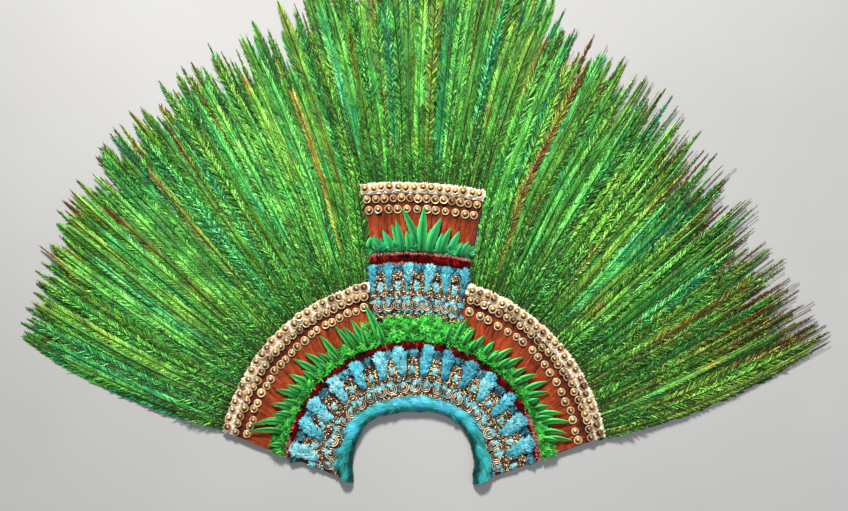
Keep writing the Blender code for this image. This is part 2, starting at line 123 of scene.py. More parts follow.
def value_noise(x, y, seed, scale=1.0):
    """Smooth random heights from -1 to 1, with hills about one scale apart."""
    size = 64  # hills before the pattern comes again
    cells = np.random.default_rng(seed).uniform(-1, 1, (size, size))
    u, v = x / scale, y / scale
    i, j = np.floor(u).astype(int), np.floor(v).astype(int)
    fu, fv = smooth_step(u - i), smooth_step(v - j)
    rows = [mix(cells[i % size, k % size], cells[(i + 1) % size, k % size], fu) for k in (j, j + 1)]
    return mix(*rows, fv)


def hills(flat, seed, scale, shift=1):
    """The noise at flat points."""
    return value_noise(flat[..., 0] + shift, flat[..., 1] + shift, seed, scale)


# Places. Each takes distances from the notch, or heights up the column, and shares from left to right.


def polar(radius, degrees):
    angle = np.radians(degrees)
    return stacked(radius * np.cos(angle), radius * np.sin(angle))


def angle_of(x, y):
    return 90 - np.degrees(np.arctan2(x, y))


def lower_edge_angle(radius, edge):
    """The angle at which the arch's straight lower edge is this far from the notch's middle."""
    foot, end = np.array(edge[0]), np.array(edge[1])
    along = end - foot
    a, b, c = along @ along, 2 * foot @ along, foot @ foot - radius**2
    share = (-b + np.sqrt(b * b - 4 * a * c)) / (2 * a)
    return angle_of(foot[0] + along[0] * share, foot[1] + along[1] * share)


def arch_edges(radius):
    return [lower_edge_angle(radius, edge) for edge in (LEFT_EDGE, RIGHT_EDGE)]


def arch_share(radius, degrees):
    left, right = arch_edges(radius)
    return (left - degrees) / (left - right)


def on_arch(radius, share):
    return polar(radius, mix(*arch_edges(radius), share))


def on_column(height, share, outside=0.0):
    across = (2 * share - 1) * (np.interp(height, *COLUMN_SIDES) + outside)
    up = height + COLUMN_BOW * (1 - (2 * share - 1) ** 2)
    sine, cosine = math.sin(COLUMN_LEAN), math.cos(COLUMN_LEAN)
    x = COLUMN_BASE[0] + across * cosine + up * sine
    y = COLUMN_BASE[1] + up * cosine - across * sine
    return stacked(x, y)


def column_side_angle(radius, share):
    """The angle at which the column's left (0) or right (1) side crosses this radius."""
    height = radius - COLUMN_BASE[1]
    for _ in range(6):
        point = on_column(height, share, outside=0.001)
        height = height + radius - np.linalg.norm(point, axis=-1)
    return angle_of(point[..., 0], point[..., 1])


def on_left_rim(radius, share):
    return polar(radius, mix(lower_edge_angle(radius, LEFT_EDGE), column_side_angle(radius, 0), share))


def on_right_rim(radius, share):
    return polar(radius, mix(column_side_angle(radius, 1), lower_edge_angle(radius, RIGHT_EDGE), share))


def fan_lean(share):
    return np.where(share < 0.5, LEAN_LEFT, LEAN_RIGHT) * (2 * share - 1) ** 3


def fan_share(degrees):
    return (FAN_LEFT - degrees) / (FAN_LEFT - FAN_RIGHT)


def column_hug(radius, share, reach):
    """How far a plume line turns to follow the column's side: most at its top, and nothing at the tip."""
    left, right = fan_share(CENTRE_LEFT), fan_share(CENTRE_RIGHT)
    most = np.interp(share, (left - 0.12, left, right, right + 0.12), (0, -COLUMN_HUG, COLUMN_HUG, 0))
    below = (np.maximum(0.0, radius - RIM_RADIUS) / (COLUMN_RIM - RIM_RADIUS)) ** 0.6
    beyond = (reach - radius) / (reach - COLUMN_RIM)
    return most * np.where(radius < COLUMN_RIM, below, beyond)


def on_fan(radius, share, reach):
    """A point of the plume line that starts at this share of the rim and ends at reach."""
    travelled = np.maximum(0.0, (radius - RIM_RADIUS) / (reach - RIM_RADIUS))
    degrees = mix(FAN_LEFT, FAN_RIGHT, share) + fan_lean(share) * travelled
    return polar(radius, degrees + column_hug(radius, share, reach))


def frame_at(place, distance, share):
    """The points there, with unit vectors to the right and outwards."""
    point = place(distance, share)
    outwards = unit(place(distance + 0.002, share) - point)
    return point, rightward(outwards), outwards


# Meshes. A Heap gathers points, faces and values for one piece.

MAP_NAME = "OFBake"
CELL_MARGIN = 0.06  # of a cell of the flat map that stays empty on each side
BLADE_ON_MAP = 0.0004  # half a blade's width there
ON_FLOOR = 0.0003  # the lowest level that anything reaches


class Heap:
    """Points, faces, and values at the points, that pile up into one mesh.

    tone is a random number, a brightness and a second random number; place is metres along and across;
    chart is where the point lies on the piece's flat map.
    """

    def __init__(self):
        self.values = ([], [], [], [])  # points, tones, places and charts
        self.faces = []
        self.count = 0

    def add(self, points, faces, tone, place, chart):
        """faces is a list of arrays of corner numbers, with 3 or 4 columns."""
        size = len(points)
        for pile, value, width in zip(self.values, (points, tone, place, chart), (3, 3, 3, 2)):
            pile.append(np.broadcast_to(value, (size, width)))
        self.faces.extend(block + self.count for block in faces)
        self.count += size

    def add_grid(self, points, tone, place, chart, flip=True):
        """The same for a grid of points. flip turns its faces over."""
        rows, columns = points.shape[:2]
        sized = zip((points, tone, place, chart), (3, 3, 3, 2))
        flat = [np.broadcast_to(value, (rows, columns, width)).reshape(-1, width) for value, width in sized]
        self.add(flat[0], [grid_faces(rows, columns)[:, :: -1 if flip else 1]], *flat[1:])

    def build(self, name, material, slot, *nodes):
        """A piece with that material, on the part's one body, standing for the nodes. slot is not used."""
        mesh = bpy.data.meshes.new(name)
        corners = np.concatenate([block.ravel() for block in self.faces])
        totals = np.concatenate([np.full(len(block), block.shape[1]) for block in self.faces])
        starts = np.concatenate([[0], np.cumsum(totals)[:-1]])
        mesh.vertices.add(self.count)
        mesh.loops.add(len(corners))
        mesh.polygons.add(len(totals))
        points, tones, places, charts = (np.concatenate(pile) for pile in self.values)
        points[:, 2] = np.maximum(points[:, 2], ON_FLOOR)
        mesh.vertices.foreach_set("co", points.astype(np.float32).ravel())
        mesh.loops.foreach_set("vertex_index", corners.astype(np.int32))
        mesh.polygons.foreach_set("loop_start", starts.astype(np.int32))
        mesh.polygons.foreach_set("use_smooth", np.full(len(totals), True))
        for attribute, values in (("tone", tones), ("place", places)):
            layer = mesh.attributes.new(attribute, "FLOAT_VECTOR", "POINT")
            layer.data.foreach_set("vector", values.astype(np.float32).ravel())
        uv = mesh.uv_layers.new(name=MAP_NAME)
        uv.uv.foreach_set("vector", charts[corners].astype(np.float32).ravel())
        mesh.update()
        mesh.validate()
        mesh.materials.append(material)
        piece = bpy.data.objects.new(name, mesh)
        bpy.context.scene.collection.objects.link(piece)
        piece.location = (*NOTCH_MIDDLE, 0)
        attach(piece, "root")
        if nodes:
            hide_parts(*nodes)
        return piece


def grid_faces(rows, columns):
    """Quads of a grid of points numbered row by row."""
    r, c = np.meshgrid(np.arange(rows - 1), np.arange(columns - 1), indexing="ij")
    low = (r * columns + c).ravel()
    return np.stack([low, low + 1, low + columns + 1, low + columns], 1)


def grid(rows, columns, low=0):
    """Shares along from 0 to 1, and shares across from low to 1, at the points of a grid."""
    return np.meshgrid(np.linspace(0, 1, rows), np.linspace(low, 1, columns), indexing="ij")


def ring_faces(rings, sides):
    """Quads between rings of points that follow one another."""
    i = np.arange(sides)
    j = (i + 1) % sides
    return np.concatenate([np.stack([i, j, j + sides, i + sides], 1) + k * sides for k in range(rings - 1)])


def copies(faces, count, per):
    """The faces of one thing with per points, repeated for count of them."""
    faces = np.asarray(faces)
    return (faces + np.arange(count)[:, None, None] * per).reshape(-1, faces.shape[1])


def each(values, count):
    """A number for all, or one for each, shaped to go with count rows of rings of points."""
    return np.broadcast_to(values, count)[:, None, None]


def chart_cell(index, count, along, across):
    """A place in one of count equal cells that fill the flat map; along and across run from 0 to 1."""
    columns = max(1, math.ceil(math.sqrt(count)))
    rows = math.ceil(count / columns)
    inside = CELL_MARGIN, 1 - CELL_MARGIN
    u = (index % columns + mix(*inside, np.clip(along, 0, 1))) / columns
    v = (index // columns + mix(*inside, np.clip(across, 0, 1))) / rows
    return stacked(u, v)


def blade_charts(count):
    """Where count blades' roots and tips lie on the flat map."""
    columns = math.ceil(math.sqrt(count))
    low = np.stack([np.arange(count) % columns, np.arange(count) // columns], 1) / columns
    return low + 0.3 / columns, low + 0.7 / columns


BLADE = ((0.0, 0.55), (0.5, 1.0), (1.0, 0.0))  # share of the length, share of the width
LONG_BLADE = ((0.0, 0.5), (0.35, 0.95), (0.7, 0.9), (1.0, 0.0))


def blades(heap, root, along, side, length, width, bend, tone, chart, outline=BLADE, fade=0.0):
    """Narrow pointed leaves of down or barb, one for each root.

    bend is a vector that the tip moves by, growing with the square of the way along. fade darkens the roots,
    as painted shade where they go into the pile or meet the shaft.
    chart gives each blade's place on the flat map, as (at the root, at the tip).
    """
    count = len(root)
    length, width = np.broadcast_to(length, count)[:, None], np.broadcast_to(width, count)[:, None]
    parts = []
    for share, wide in outline:
        middle = root + along * length * share + bend * share**2
        # painted shade: fade darkens each blade towards its root
        shade = tone * np.array([1, mix(1 - fade, 1, share), 1])
        spot = mix(*chart, share)
        for sign in (-1, 1) if wide else (0,):
            aside = width * (0.5 * wide * sign)
            place = np.concatenate([length * share, aside, length], 1)
            parts.append((middle + side * aside, shade, place, spot + BLADE_ON_MAP * sign))
    per = len(parts)
    faces = [[[2 * i, 2 * i + 1, 2 * i + 3, 2 * i + 2]] for i in range((per - 1) // 2 - 1)]
    faces.append([[per - 3, per - 2, per - 1]])
    points, *values = (np.stack(block, 1).reshape(count * per, -1) for block in zip(*parts))
    heap.add(points, [copies(face, count, per) for face in faces], *values)


def fluff(heap, rng, spots, level, size, spread, lift, tone, droop=0.3, curl=0.3, outline=BLADE, fade=0.6,
          keep=slice(None)):
    """Loose barbs of about that length and width, that stand from spots as frame_at gives them.

    They are fanned about the outward way by spread, in radians. keep tells which of the spots have one.
    """
    flat, right, outwards = (part[keep] for part in spots)
    count = len(flat)
    way = turned(outwards, right, rng.normal(0, 1, count) * spread)
    direction = unit(raised(way, np.clip(rng.normal(lift, 0.18, count), -0.1, 1.2)))
    aside = rightward(way)
    side = unit(raised(aside, np.sin(rng.normal(0, 0.5, count))))
    length = size[0] * rng.uniform(0.65, 1.25, count)
    bend = raised(aside * (curl * rng.normal(0, 1, count) * length)[:, None], -droop * length)
    root, tone = raised(flat, level[keep]), tone[keep]
    blades(heap, root, direction, side, length, size[1], bend, tone, blade_charts(count), outline, fade)


def add_skin(heap, place, low, high, floor, crown, columns, rows, tone, lump=0.0, ragged=0.0, seed=0):
    """A band's skin, from the floor at its inner edge over its back to the floor at its outer edge.

    crown gives the level for a share of the way across. lump is the height of its bumps, and ragged how far
    its outer edge strays. tone is the same for all points, or worked out from the shares across and along.
    """
    across = np.concatenate([[0.0], np.linspace(0, 1, rows), [1.0]])
    u, v = np.meshgrid(across, np.linspace(0, 1, columns), indexing="ij")
    reach = high + ragged * value_noise(v * 1.3, v * 0 + 0.3, seed + 1, 0.012)
    flat = place(low + (reach - low) * u, v)
    level = crown(u) + (lump * hills(flat, seed, 0.007) + 0.5 * lump * hills(flat, seed + 2, 0.003, 2))
    level[0], level[-1] = floor, floor
    chart = stacked(mix(0.01, 0.99, v), mix(0.02, 0.98, u))
    tones = tone(u, v) if callable(tone) else tone
    heap.add_grid(raised(flat, level), tones, stacked(v * 0.7, u * 0.08, u), chart)


def flat_crown(level):
    return lambda u: np.full(u.shape, level)


def round_crown(floor, top):
    return lambda u: mix(floor, top, np.sqrt(np.clip(1 - (2 * u - 1) ** 2, 0, 1)) ** 0.8)


def add_beads(heap, spots, level, across, along, height, tone, sides=7):
    """Beaten lumps, as wide as across and as long as along, each with its own flat top."""
    centre, right, outwards = spots
    count = len(centre)
    turn = 2 * math.pi * np.arange(sides) / sides
    rings = ((1.0, 0.0), (0.8, 0.8))  # share of the width, share of the height
    across, along, height = (each(a, count) for a in (across, along, height))
    rough = 1 + 0.14 * np.sin(turn[None] * 2 + 40 * tone[:, 2:])
    points = []
    for wide, up in rings:
        step = right[:, None] * (np.cos(turn) * rough)[..., None] * wide * across / 2
        step = step + outwards[:, None] * (np.sin(turn) * rough)[..., None] * wide * along / 2
        ring_level = np.broadcast_to(level + (height * up)[..., 0], (count, sides))
        points.append(raised(centre[:, None] + step, ring_level))
    points.append(raised(centre, level + height[:, 0, 0])[:, None])
    points = np.concatenate(points, 1)
    per = 2 * sides + 1
    i = np.arange(sides)
    top = np.stack([i + sides, (i + 1) % sides + sides, np.full(sides, 2 * sides)], 1)
    up = np.repeat([0.0, 0.72, 0.95], (sides, sides, 1))
    tones = stacked(up, tone[:, None, 1], tone[:, None, 2])
    ways = np.cos(turn), np.sin(turn)
    spot = (0.5 + np.concatenate([way * wide / 2 for wide, _ in rings] + [[0.0]]) for way in ways)
    chart = chart_cell(np.arange(count)[:, None], count, *spot)
    faces = [copies(ring_faces(2, sides), count, per), copies(top, count, per)]
    heap.add(points.reshape(-1, 3), faces, tones.reshape(-1, 3), 0.0, chart.reshape(-1, 2))


def add_turned(heap, profile, centre, level, size, tilt, tone, sides=18):
    """Round ornaments, each tilted, from one profile of (radius, height, tone above, tone below)."""
    count, rows = len(centre), len(profile)
    wide, tall, above, under = np.array(profile).T[:, None, :, None]
    turn = 2 * math.pi * np.arange(sides) / sides
    radius, height = (each(a, count) for a in size)
    shade, chance = each(tone[:, 1], count), each(tone[:, 2], count)
    wobble = 1 + 0.03 * np.sin(3 * turn + 6 * chance)
    x = wide * radius * np.cos(turn) * wobble
    y = wide * radius * np.sin(turn) * wobble
    z = tall * height + x * each(tilt[:, 0], count) + y * each(tilt[:, 1], count)
    z = z + each(np.abs(tilt).sum(1), count) * radius * 0.8
    points = stacked(x + each(centre[:, 0], count), y + each(centre[:, 1], count), z + level)
    faces = copies(ring_faces(rows, sides), count, rows * sides)
    # painted shade and light: the lower side is darker on the dome and a little lighter on the rim
    below = smooth_step(-np.sin(turn + 2.4 * (chance - 0.3)), -0.3, 0.7)
    tones = stacked(mix(above, under, below), shade, chance)
    out = np.linspace(0.5, 0.02, rows)[None, :, None]
    spot = 0.5 + out * np.cos(turn), 0.5 + out * np.sin(turn)
    chart = chart_cell(np.arange(count)[:, None, None], count, *spot)
    heap.add(points.reshape(-1, 3), [faces], tones.reshape(-1, 3), 0.0, chart.reshape(-1, 2))


# Materials. Each is a graph of procedural nodes that reads the pieces' tone and place.


class Value:
    """A number in a material's graph. Arithmetic with it adds math nodes."""

    def __init__(self, graph, socket):
        self.graph, self.socket = graph, socket

    def __add__(self, other):
        return self.graph.math("ADD", self, other)

    def __sub__(self, other):
        return self.graph.math("SUBTRACT", self, other)

    def __rsub__(self, other):
        return self.graph.math("SUBTRACT", other, self)

    def __mul__(self, other):
        return self.graph.math("MULTIPLY", self, other)

    def at_least(self, other):
        return self.graph.math("MAXIMUM", self, other)

    def at_most(self, other):
        return self.graph.math("MINIMUM", self, other)


class Graph:
    """A material's nodes, with short calls to add and link them."""

    def __init__(self, name):
        self.material = bpy.data.materials.new(name)
        self.material.use_nodes = True
        self.tree = self.material.node_tree
        self.shader = self.tree.nodes["Principled BSDF"]

    def node(self, kind, inputs=None, **settings):
        made = self.tree.nodes.new(kind)
        for key, value in settings.items():
            setattr(made, key, value)
        for key, value in (inputs or {}).items():
            self.put(made.inputs[key], value)
        return made

    def put(self, socket, value):
        if isinstance(value, Value):
            self.tree.links.new(value.socket, socket)
        else:
            socket.default_value = value

    def out(self, made, index=0):
        return Value(self, made.outputs[index])

    def axes(self, vector):
        made = self.node("ShaderNodeSeparateXYZ", {0: vector})
        return [self.out(made, axis) for axis in range(3)]

    def attribute(self, name):
        return self.axes(self.out(self.node("ShaderNodeAttribute", attribute_name=name), "Vector"))

    def position(self):
        return self.out(self.node("ShaderNodeTexCoord"), "Object")

    def math(self, operation, *values):
        return self.out(self.node("ShaderNodeMath", dict(enumerate(values)), operation=operation))

    def ramp(self, factor, stops):
        made = self.node("ShaderNodeValToRGB", {0: factor})
        elements = made.color_ramp.elements
        while len(elements) < len(stops):
            elements.new(0.5)
        for element, (position, colour) in zip(elements, stops):
            element.position = position
            element.color = (*colour, 1)
        return self.out(made)

    def mixed(self, factor, first, last, blend="MIX"):
        inputs = {0: factor, 6: first, 7: last}
        return self.out(self.node("ShaderNodeMix", inputs, data_type="RGBA", blend_type=blend), 2)

    def noise(self, scale, detail=2.0, vector=None, roughness=0.5):
        vector = vector or self.position()
        inputs = {"Scale": scale, "Detail": detail, "Roughness": roughness, "Vector": vector}
        return self.out(self.node("ShaderNodeTexNoise", inputs), "Fac")

    def vector(self, x, y, z):
        return self.out(self.node("ShaderNodeCombineXYZ", {0: x, 1: y, 2: z}))

    def bump(self, height, distance, strength=1.0):
        made = self.node("ShaderNodeBump", {"Height": height, "Distance": distance, "Strength": strength})
        self.put(self.shader.inputs["Normal"], self.out(made))

    def finish(self, colour, roughness, lit=None, **others):
        """The material of that colour, made lighter or darker by lit."""
        if lit is not None:
            colour = self.out(self.node("ShaderNodeHueSaturation", {"Color": colour, "Value": lit}))
        self.put(self.shader.inputs["Base Color"], colour)
        self.put(self.shader.inputs["Roughness"], roughness)
        for name, value in others.items():
            self.put(self.shader.inputs[name.replace("_", " ")], value)
        return self.material


# Colour ramps: places on the ramp from 0 to 1, each with its colour.
PLUME_GREENS = (  # from mint through leaf green to gold and rust
    (0.0, (0.04, 0.52, 0.2)), (0.16, (0.048, 0.56, 0.125)), (0.34, (0.068, 0.515, 0.07)),
    (0.55, (0.15, 0.54, 0.048)), (0.74, (0.32, 0.58, 0.055)), (0.88, (0.5, 0.38, 0.045)),
    (1.0, (0.3, 0.12, 0.028)),
)
SHAFT = (
    (0.0, (0.16, 0.27, 0.09)), (0.18, (0.05, 0.1, 0.024)), (0.35, (0.006, 0.02, 0.008)),
    (0.6, (0.03, 0.04, 0.01)), (1.0, (0.12, 0.05, 0.02)),
)
GOLD = (
    (0.0, (0.035, 0.011, 0.004)), (0.3, (0.24, 0.095, 0.03)), (0.6, (0.68, 0.38, 0.14)),
    (0.82, (0.98, 0.73, 0.37)), (1.0, (1.0, 0.94, 0.72)),
)
DISC_GOLD = (
    (0.0, (0.05, 0.015, 0.006)), (0.3, (0.3, 0.125, 0.045)), (0.55, (0.62, 0.37, 0.14)),
    (0.8, (0.88, 0.64, 0.31)), (1.0, (1.0, 0.89, 0.58)),
)
RUSSET = (
    (0.28, (0.045, 0.005, 0.002)), (0.47, (0.21, 0.025, 0.006)), (0.64, (0.415, 0.053, 0.012)),
    (0.88, (0.71, 0.142, 0.033)),
)
CREAM = (
    (0.0, (0.2, 0.09, 0.05)), (0.3, (0.62, 0.42, 0.27)), (0.6, (1.0, 0.84, 0.62)), (1.0, (1.0, 0.96, 0.82)),
)
GARLAND = (
    (0.0, (0.008, 0.055, 0.012)), (0.3, (0.02, 0.27, 0.035)), (0.6, (0.048, 0.54, 0.056)),
    (0.85, (0.13, 0.74, 0.1)), (1.0, (0.28, 0.72, 0.11)),
)
LEAF = (  # from the midrib to the pale edge: part the feather's own colour, part painted highlight
    (0.0, (0.004, 0.045, 0.012)), (0.18, (0.014, 0.2, 0.028)), (0.5, (0.03, 0.37, 0.045)),
    (0.82, (0.055, 0.52, 0.065)), (1.0, (0.24, 0.78, 0.19)),
)
TEAL_DOWN = (
    (0.0, (0.004, 0.05, 0.022)), (0.3, (0.014, 0.23, 0.08)), (0.6, (0.034, 0.48, 0.15)),
    (1.0, (0.14, 0.74, 0.26)),
)
RED = (
    (0.0, (0.008, 0.0, 0.001)), (0.35, (0.085, 0.001, 0.002)), (0.66, (0.5, 0.004, 0.01)),
    (0.84, (0.8, 0.2, 0.15)), (1.0, (0.98, 0.62, 0.5)),
)
BLUE = (
    (0.0, (0.014, 0.022, 0.036)), (0.22, (0.04, 0.12, 0.145)), (0.5, (0.075, 0.345, 0.48)),
    (0.75, (0.1, 0.64, 0.76)), (1.0, (0.54, 0.82, 0.8)),
)
DARK_GROUND = (
    (0.0, (0.02, 0.008, 0.01)), (0.4, (0.09, 0.03, 0.022)), (0.7, (0.1, 0.11, 0.17)), (1.0, (0.2, 0.4, 0.5)),
)
ROLL = (
    (0.0, (0.006, 0.05, 0.06)), (0.22, (0.02, 0.25, 0.22)), (0.45, (0.045, 0.47, 0.44)),
    (0.66, (0.075, 0.53, 0.66)), (0.84, (0.1, 0.5, 0.78)), (1.0, (0.22, 0.68, 0.86)),
)


def plume_material():
    """Iridescent barbs: the hue drifts down each plume, and fine lines run along every barb."""
    g = Graph("green_plume_barbs")
    hue, shade, chance = g.attribute("tone")
    along, across, _ = g.attribute("place")
    drift, local = g.noise(9.0, 3.0) - 0.5, g.noise(60.0) - 0.5
    colour = g.ramp(hue + (drift * 0.3 + local * 0.16), PLUME_GREENS)
    lines = g.noise(1.0, 2.0, g.vector(along * 190.0, across * 600.0, chance * 40.0))
    # painted shade between the fine barb lines
    gaps = ((lines - 0.5) * 3.4 + 0.5).at_least(0.0).at_most(1.0)
    lit = shade * (gaps * 1.3 + 0.34)
    lit = lit.at_most(2.0) * ((g.noise(560.0) - 0.5) * 3.2 + 1.0).at_least(0.35)
    # painted highlight: the brightest barbs turn pale yellow-green
    colour = g.mixed((lit - 1.15) * 0.45, colour, (0.34, 0.66, 0.14, 1))
    g.bump(gaps, 0.0006, 0.6)
    return g.finish(colour, 0.45, lit, Specular_IOR_Level=0.22)


def shaft_material():
    g = Graph("plume_shaft")
    hue, shade, _ = g.attribute("tone")
    mottled = g.mixed(g.noise(140.0) * 0.35, g.ramp(hue, SHAFT), (0.1, 0.08, 0.03, 1))
    g.bump(g.noise(900.0), 0.0002, 0.5)
    return g.finish(mottled, 0.5, shade, Specular_IOR_Level=0.12)


def barb_material(name, stops, roughness=0.55, drift=0.3, grain=60.0, sheen=0.0, gloss=0.18):
    """Soft barbs whose colour runs along a ramp by each one's tone, and shifts from patch to patch."""
    g = Graph(name)
    hue, shade, chance = g.attribute("tone")
    along, across, _ = g.attribute("place")
    patch = (g.noise(grain, 3.0) - 0.5) * (drift * 2)
    thread = g.noise(1.0, 2.0, g.vector(along * 120.0, across * 3000.0, chance))
    g.bump(thread, 0.0003, 0.5)
    lit = shade * (thread * 0.5 + 0.75)
    return g.finish(g.ramp(hue + patch, stops), roughness, lit, Specular_IOR_Level=gloss, Sheen_Weight=sheen)


def gold_material(name, stops, copper, dull=0.0):
    """Thin beaten gold: pale on its edges, brown in its hollows, coppery on some, and slightly dented."""
    g = Graph(name)
    high, shade, chance = g.attribute("tone")
    coppery = (chance - 0.55) * 2.2 * (1.7 - high * 1.2)
    colour = g.mixed(coppery, g.ramp(high, stops), copper, "MULTIPLY")
    stain = (g.noise(420.0, 3.0) - 0.45) * (1.3 + dull)
    worn = g.mixed(stain, colour, (0.3, 0.125, 0.045, 1))
    g.bump(g.noise(420.0), 0.0005, 0.5)
    return g.finish(worn, g.noise(300.0) * 0.2 + 0.24, shade, Metallic=0.45)


def russet_material():
    """Russet feathers with fine dark streaks that run down each one."""
    g = Graph("russet_feathers")
    hue, shade, chance = g.attribute("tone")
    along, across, _ = g.attribute("place")
    streak = g.noise(1.0, 3.0, g.vector(along * 26.0, across * 1300.0, chance), 0.65)
    spots = (g.noise(70.0, 3.0) - 0.5) * 0.5
    factor = (streak - 0.5) * 2.1 + 0.45 + spots + hue * 0.25
    g.bump(streak, 0.0005, 0.7)
    return g.finish(g.ramp(factor, RUSSET), 0.65, shade, Specular_IOR_Level=0.15)


def leaf_material():
    g = Graph("green_leaf_barbs")
    across, shade, chance = g.attribute("tone")
    along, aside, _ = g.attribute("place")
    slant = along - g.math("ABSOLUTE", aside) * 1.6
    barbs = g.noise(1.0, 2.0, g.vector(slant * 900.0, aside * 60.0, chance))
    teal = (g.noise(45.0) + chance - 0.85) * 1.1
    # the ramp's pale edge is partly a painted highlight
    colour = g.mixed(teal, g.ramp(across, LEAF), (0.016, 0.345, 0.13, 1))
    g.bump(barbs, 0.0004, 0.7)
    return g.finish(colour, 0.42, shade * (barbs * 1.9 + 0.1), Specular_IOR_Level=0.28)


def cloth_material():
    """A plain weave of two threads, with darker patches."""
    g = Graph("ground_weave")
    waves = 2 * math.pi / 0.0024
    warp, weft = (g.math("SINE", axis * waves) for axis in g.axes(g.position())[:2])
    weave = warp * weft * 0.5 + 0.5
    colour = g.mixed(weave, (0.13, 0.085, 0.05, 1), (0.36, 0.27, 0.17, 1))
    g.bump(weave, 0.0005, 0.8)
    return g.finish(g.mixed(g.noise(25.0, 4.0) * 0.5, colour, (0.2, 0.1, 0.06, 1)), 0.9)


# The plume fan.


def plume_profile(share, taper_from, blunt):
    """A plume's half-width, as a share of its widest, from the rim to its tip."""
    rise = 0.42 + 0.58 * smooth_step(share, 0.0, 0.35)
    taper = 1 - 0.94 * np.clip((share - taper_from) / (1 - taper_from), 0, 1) ** blunt
    return rise * taper


def add_plume(vanes, shafts, rng, line, half_width, pitch, sleek, slender, hue, rust, shade, cell, roll):
    """One plume: a shaft with overlapping locks of barbs down both sides.

    line gives the shaft's points from its root, 0, to its tip, 1, and its length. pitch is the distance
    between locks at the root and at the tip. A sleek plume's barbs lie close together, and another's are
    frayed. A slender one ends in a long thin point. rust is how much gold and rust shows, most of it near
    the tip.
    """
    shaft, length = line
    pitch = [step * (0.72 if sleek else 1.0) for step in pitch]
    count = max(8, int(2 * length / sum(pitch)))
    even = (np.arange(count) + rng.uniform(0, 1)) / count
    bias = (pitch[0] - pitch[1]) / sum(pitch)  # closer together where the pitch is finer
    t = even + bias * even * (1 - even)
    step = length / count * (1 + bias * (1 - 2 * even))
    tangent = unit(shaft(t + 0.004) - shaft(t - 0.004))
    flat_side = unit(raised(rightward(tangent), 0.0))
    side = turned(flat_side, -np.cross(flat_side, tangent), roll + 0.2 * np.sin(4 * t + 6 * roll))
    up = np.cross(side, tangent)
    blunt = rng.uniform(1.4, 2.4) if sleek else rng.uniform(0.9, 1.5)
    blunt, taper_from = mix(blunt, 0.8, slender), rng.uniform(0.6, 0.9) - 0.18 * slender
    wide = half_width * plume_profile(t, taper_from, blunt)
    bare_tip = rng.uniform() < 0.06 + 0.34 * slender
    last = rng.uniform(0.86, 0.95) if bare_tip else rng.uniform(0.95, 1.0)
    hues = hue + rust * smooth_step(t, rng.uniform(0.55, 0.9), 1.0)
    for _ in range(rng.integers(0, 3) if length > 0.3 else 0):  # stretches that turn gold or blue-green
        most = rng.choice((0.2, 0.14, -0.18, -0.26))
        middle, spread = rng.uniform(0.1, 1.0), rng.uniform(0.03, 0.11)
        hues = hues + most * np.exp(-(((t - middle) / spread) ** 2))
    # the tips, out from under other plumes, lose the painted shade of their layer
    shade = shade * mix(1.0, max(1.0, 0.95 / shade), smooth_step(t, 0.8, 0.93))  # painted light on exposed tips
    angle = np.radians(np.interp(t, (0, 0.45, 1), (54, 42, 24)))
    loose = 0.3 if sleek else 1.0

    def wander():
        """A slow random curve from -1 to 1 along the plume."""
        bends, apart = 24, 0.045
        return np.interp(t * length / apart, np.arange(bends), rng.uniform(-1, 1, bends))

    for sign in (-1, 1):
        turn = angle + rng.normal(0, 0.03 + 0.11 * loose, count)
        lift = rng.normal(-0.12, 0.03 + 0.16 * loose, count)
        direction = unit(turned(tangent, side * sign, turn) + up * lift[:, None])
        reach = wide / np.sin(angle) * (1 + (0.06 + 0.22 * loose) * rng.uniform(-1, 0.8, count))
        tilt = rng.normal(0.1 * sign, 0.05 + 0.35 * loose, count)[:, None]
        across = unit(unit(np.cross(up, direction)) + up * tilt)
        bend = tangent * (0.2 * reach)[:, None] - up * (0.12 * reach)[:, None]
        # painted light and shade: the vane that the roll turns up is lighter than the other
        lit = (1.02 + 0.17 * np.sign(sign * roll)) * (1 + 0.34 * wander())
        spread = rng.uniform(0.92 - 0.52 * loose, 1.12 + 0.52 * loose, count)
        gaps = rng.uniform(0, 1, count) < 0.02 + 0.14 * loose  # painted shade between the locks
        strand = t * length * 0.6 + roll if sleek else rng.uniform(0, 1, count)
        tinge = 0.06 * wander() + rng.normal(0, 0.02 + 0.03 * loose, count)
        tones = stacked(hues + tinge, shade * lit * np.where(gaps, 0.35, spread), strand)
        charts = chart_cell(*cell, t, 0.5 + 0.03 * sign), chart_cell(*cell, t + 0.02, 0.5 + 0.48 * sign)
        thick = step * np.sin(angle) * (1.9 if sleek else 1.5)
        parts = shaft(t), direction, across, reach, thick, bend, tones, *charts
        *parts, chart_root, chart_tip = (values[t < last] for values in parts)
        blades(vanes, *parts, (chart_root, chart_tip), BLADE, fade=0.55)
    add_shaft(shafts, rng, line, 1.0 if bare_tip else min(1.0, last + 0.02), cell)


def add_shaft(shafts, rng, line, end, cell):
    """A plume's shaft, a thin ridge. Its bare end is brown, and so is the whole of one in three."""
    shaft, length = line
    rings = 12
    t = np.linspace(-0.02, end, rings)[:, None]
    centre = shaft(t[:, 0]) + np.array([0, 0, 0.0005])
    aside = raised(rightward(unit(np.gradient(centre, axis=0))), 0.0)
    radius = (rng.uniform(0.0005, 0.0011) * (1 - 0.3 * np.linspace(0, 1, rings)))[:, None]
    points = np.stack([centre - aside * radius, centre + [0, 0, 0.0009], centre + aside * radius], 1)
    bare = smooth_step(t, 0.75, 0.98)
    brown = rng.uniform() < 0.35
    below, dim = (rng.uniform(0.85, 1.0), 0.75) if brown else (rng.uniform(0.0, 0.45), 0.42)
    tones = stacked(mix(below, 1.0, bare), mix(dim, rng.uniform(0.5, 1.1), bare), bare)
    place = stacked(t * length, [-0.001, 0, 0.001], 0)
    shafts.add_grid(points, tones, place, chart_cell(*cell, t, np.array([0.3, 0.5, 0.7])), flip=False)


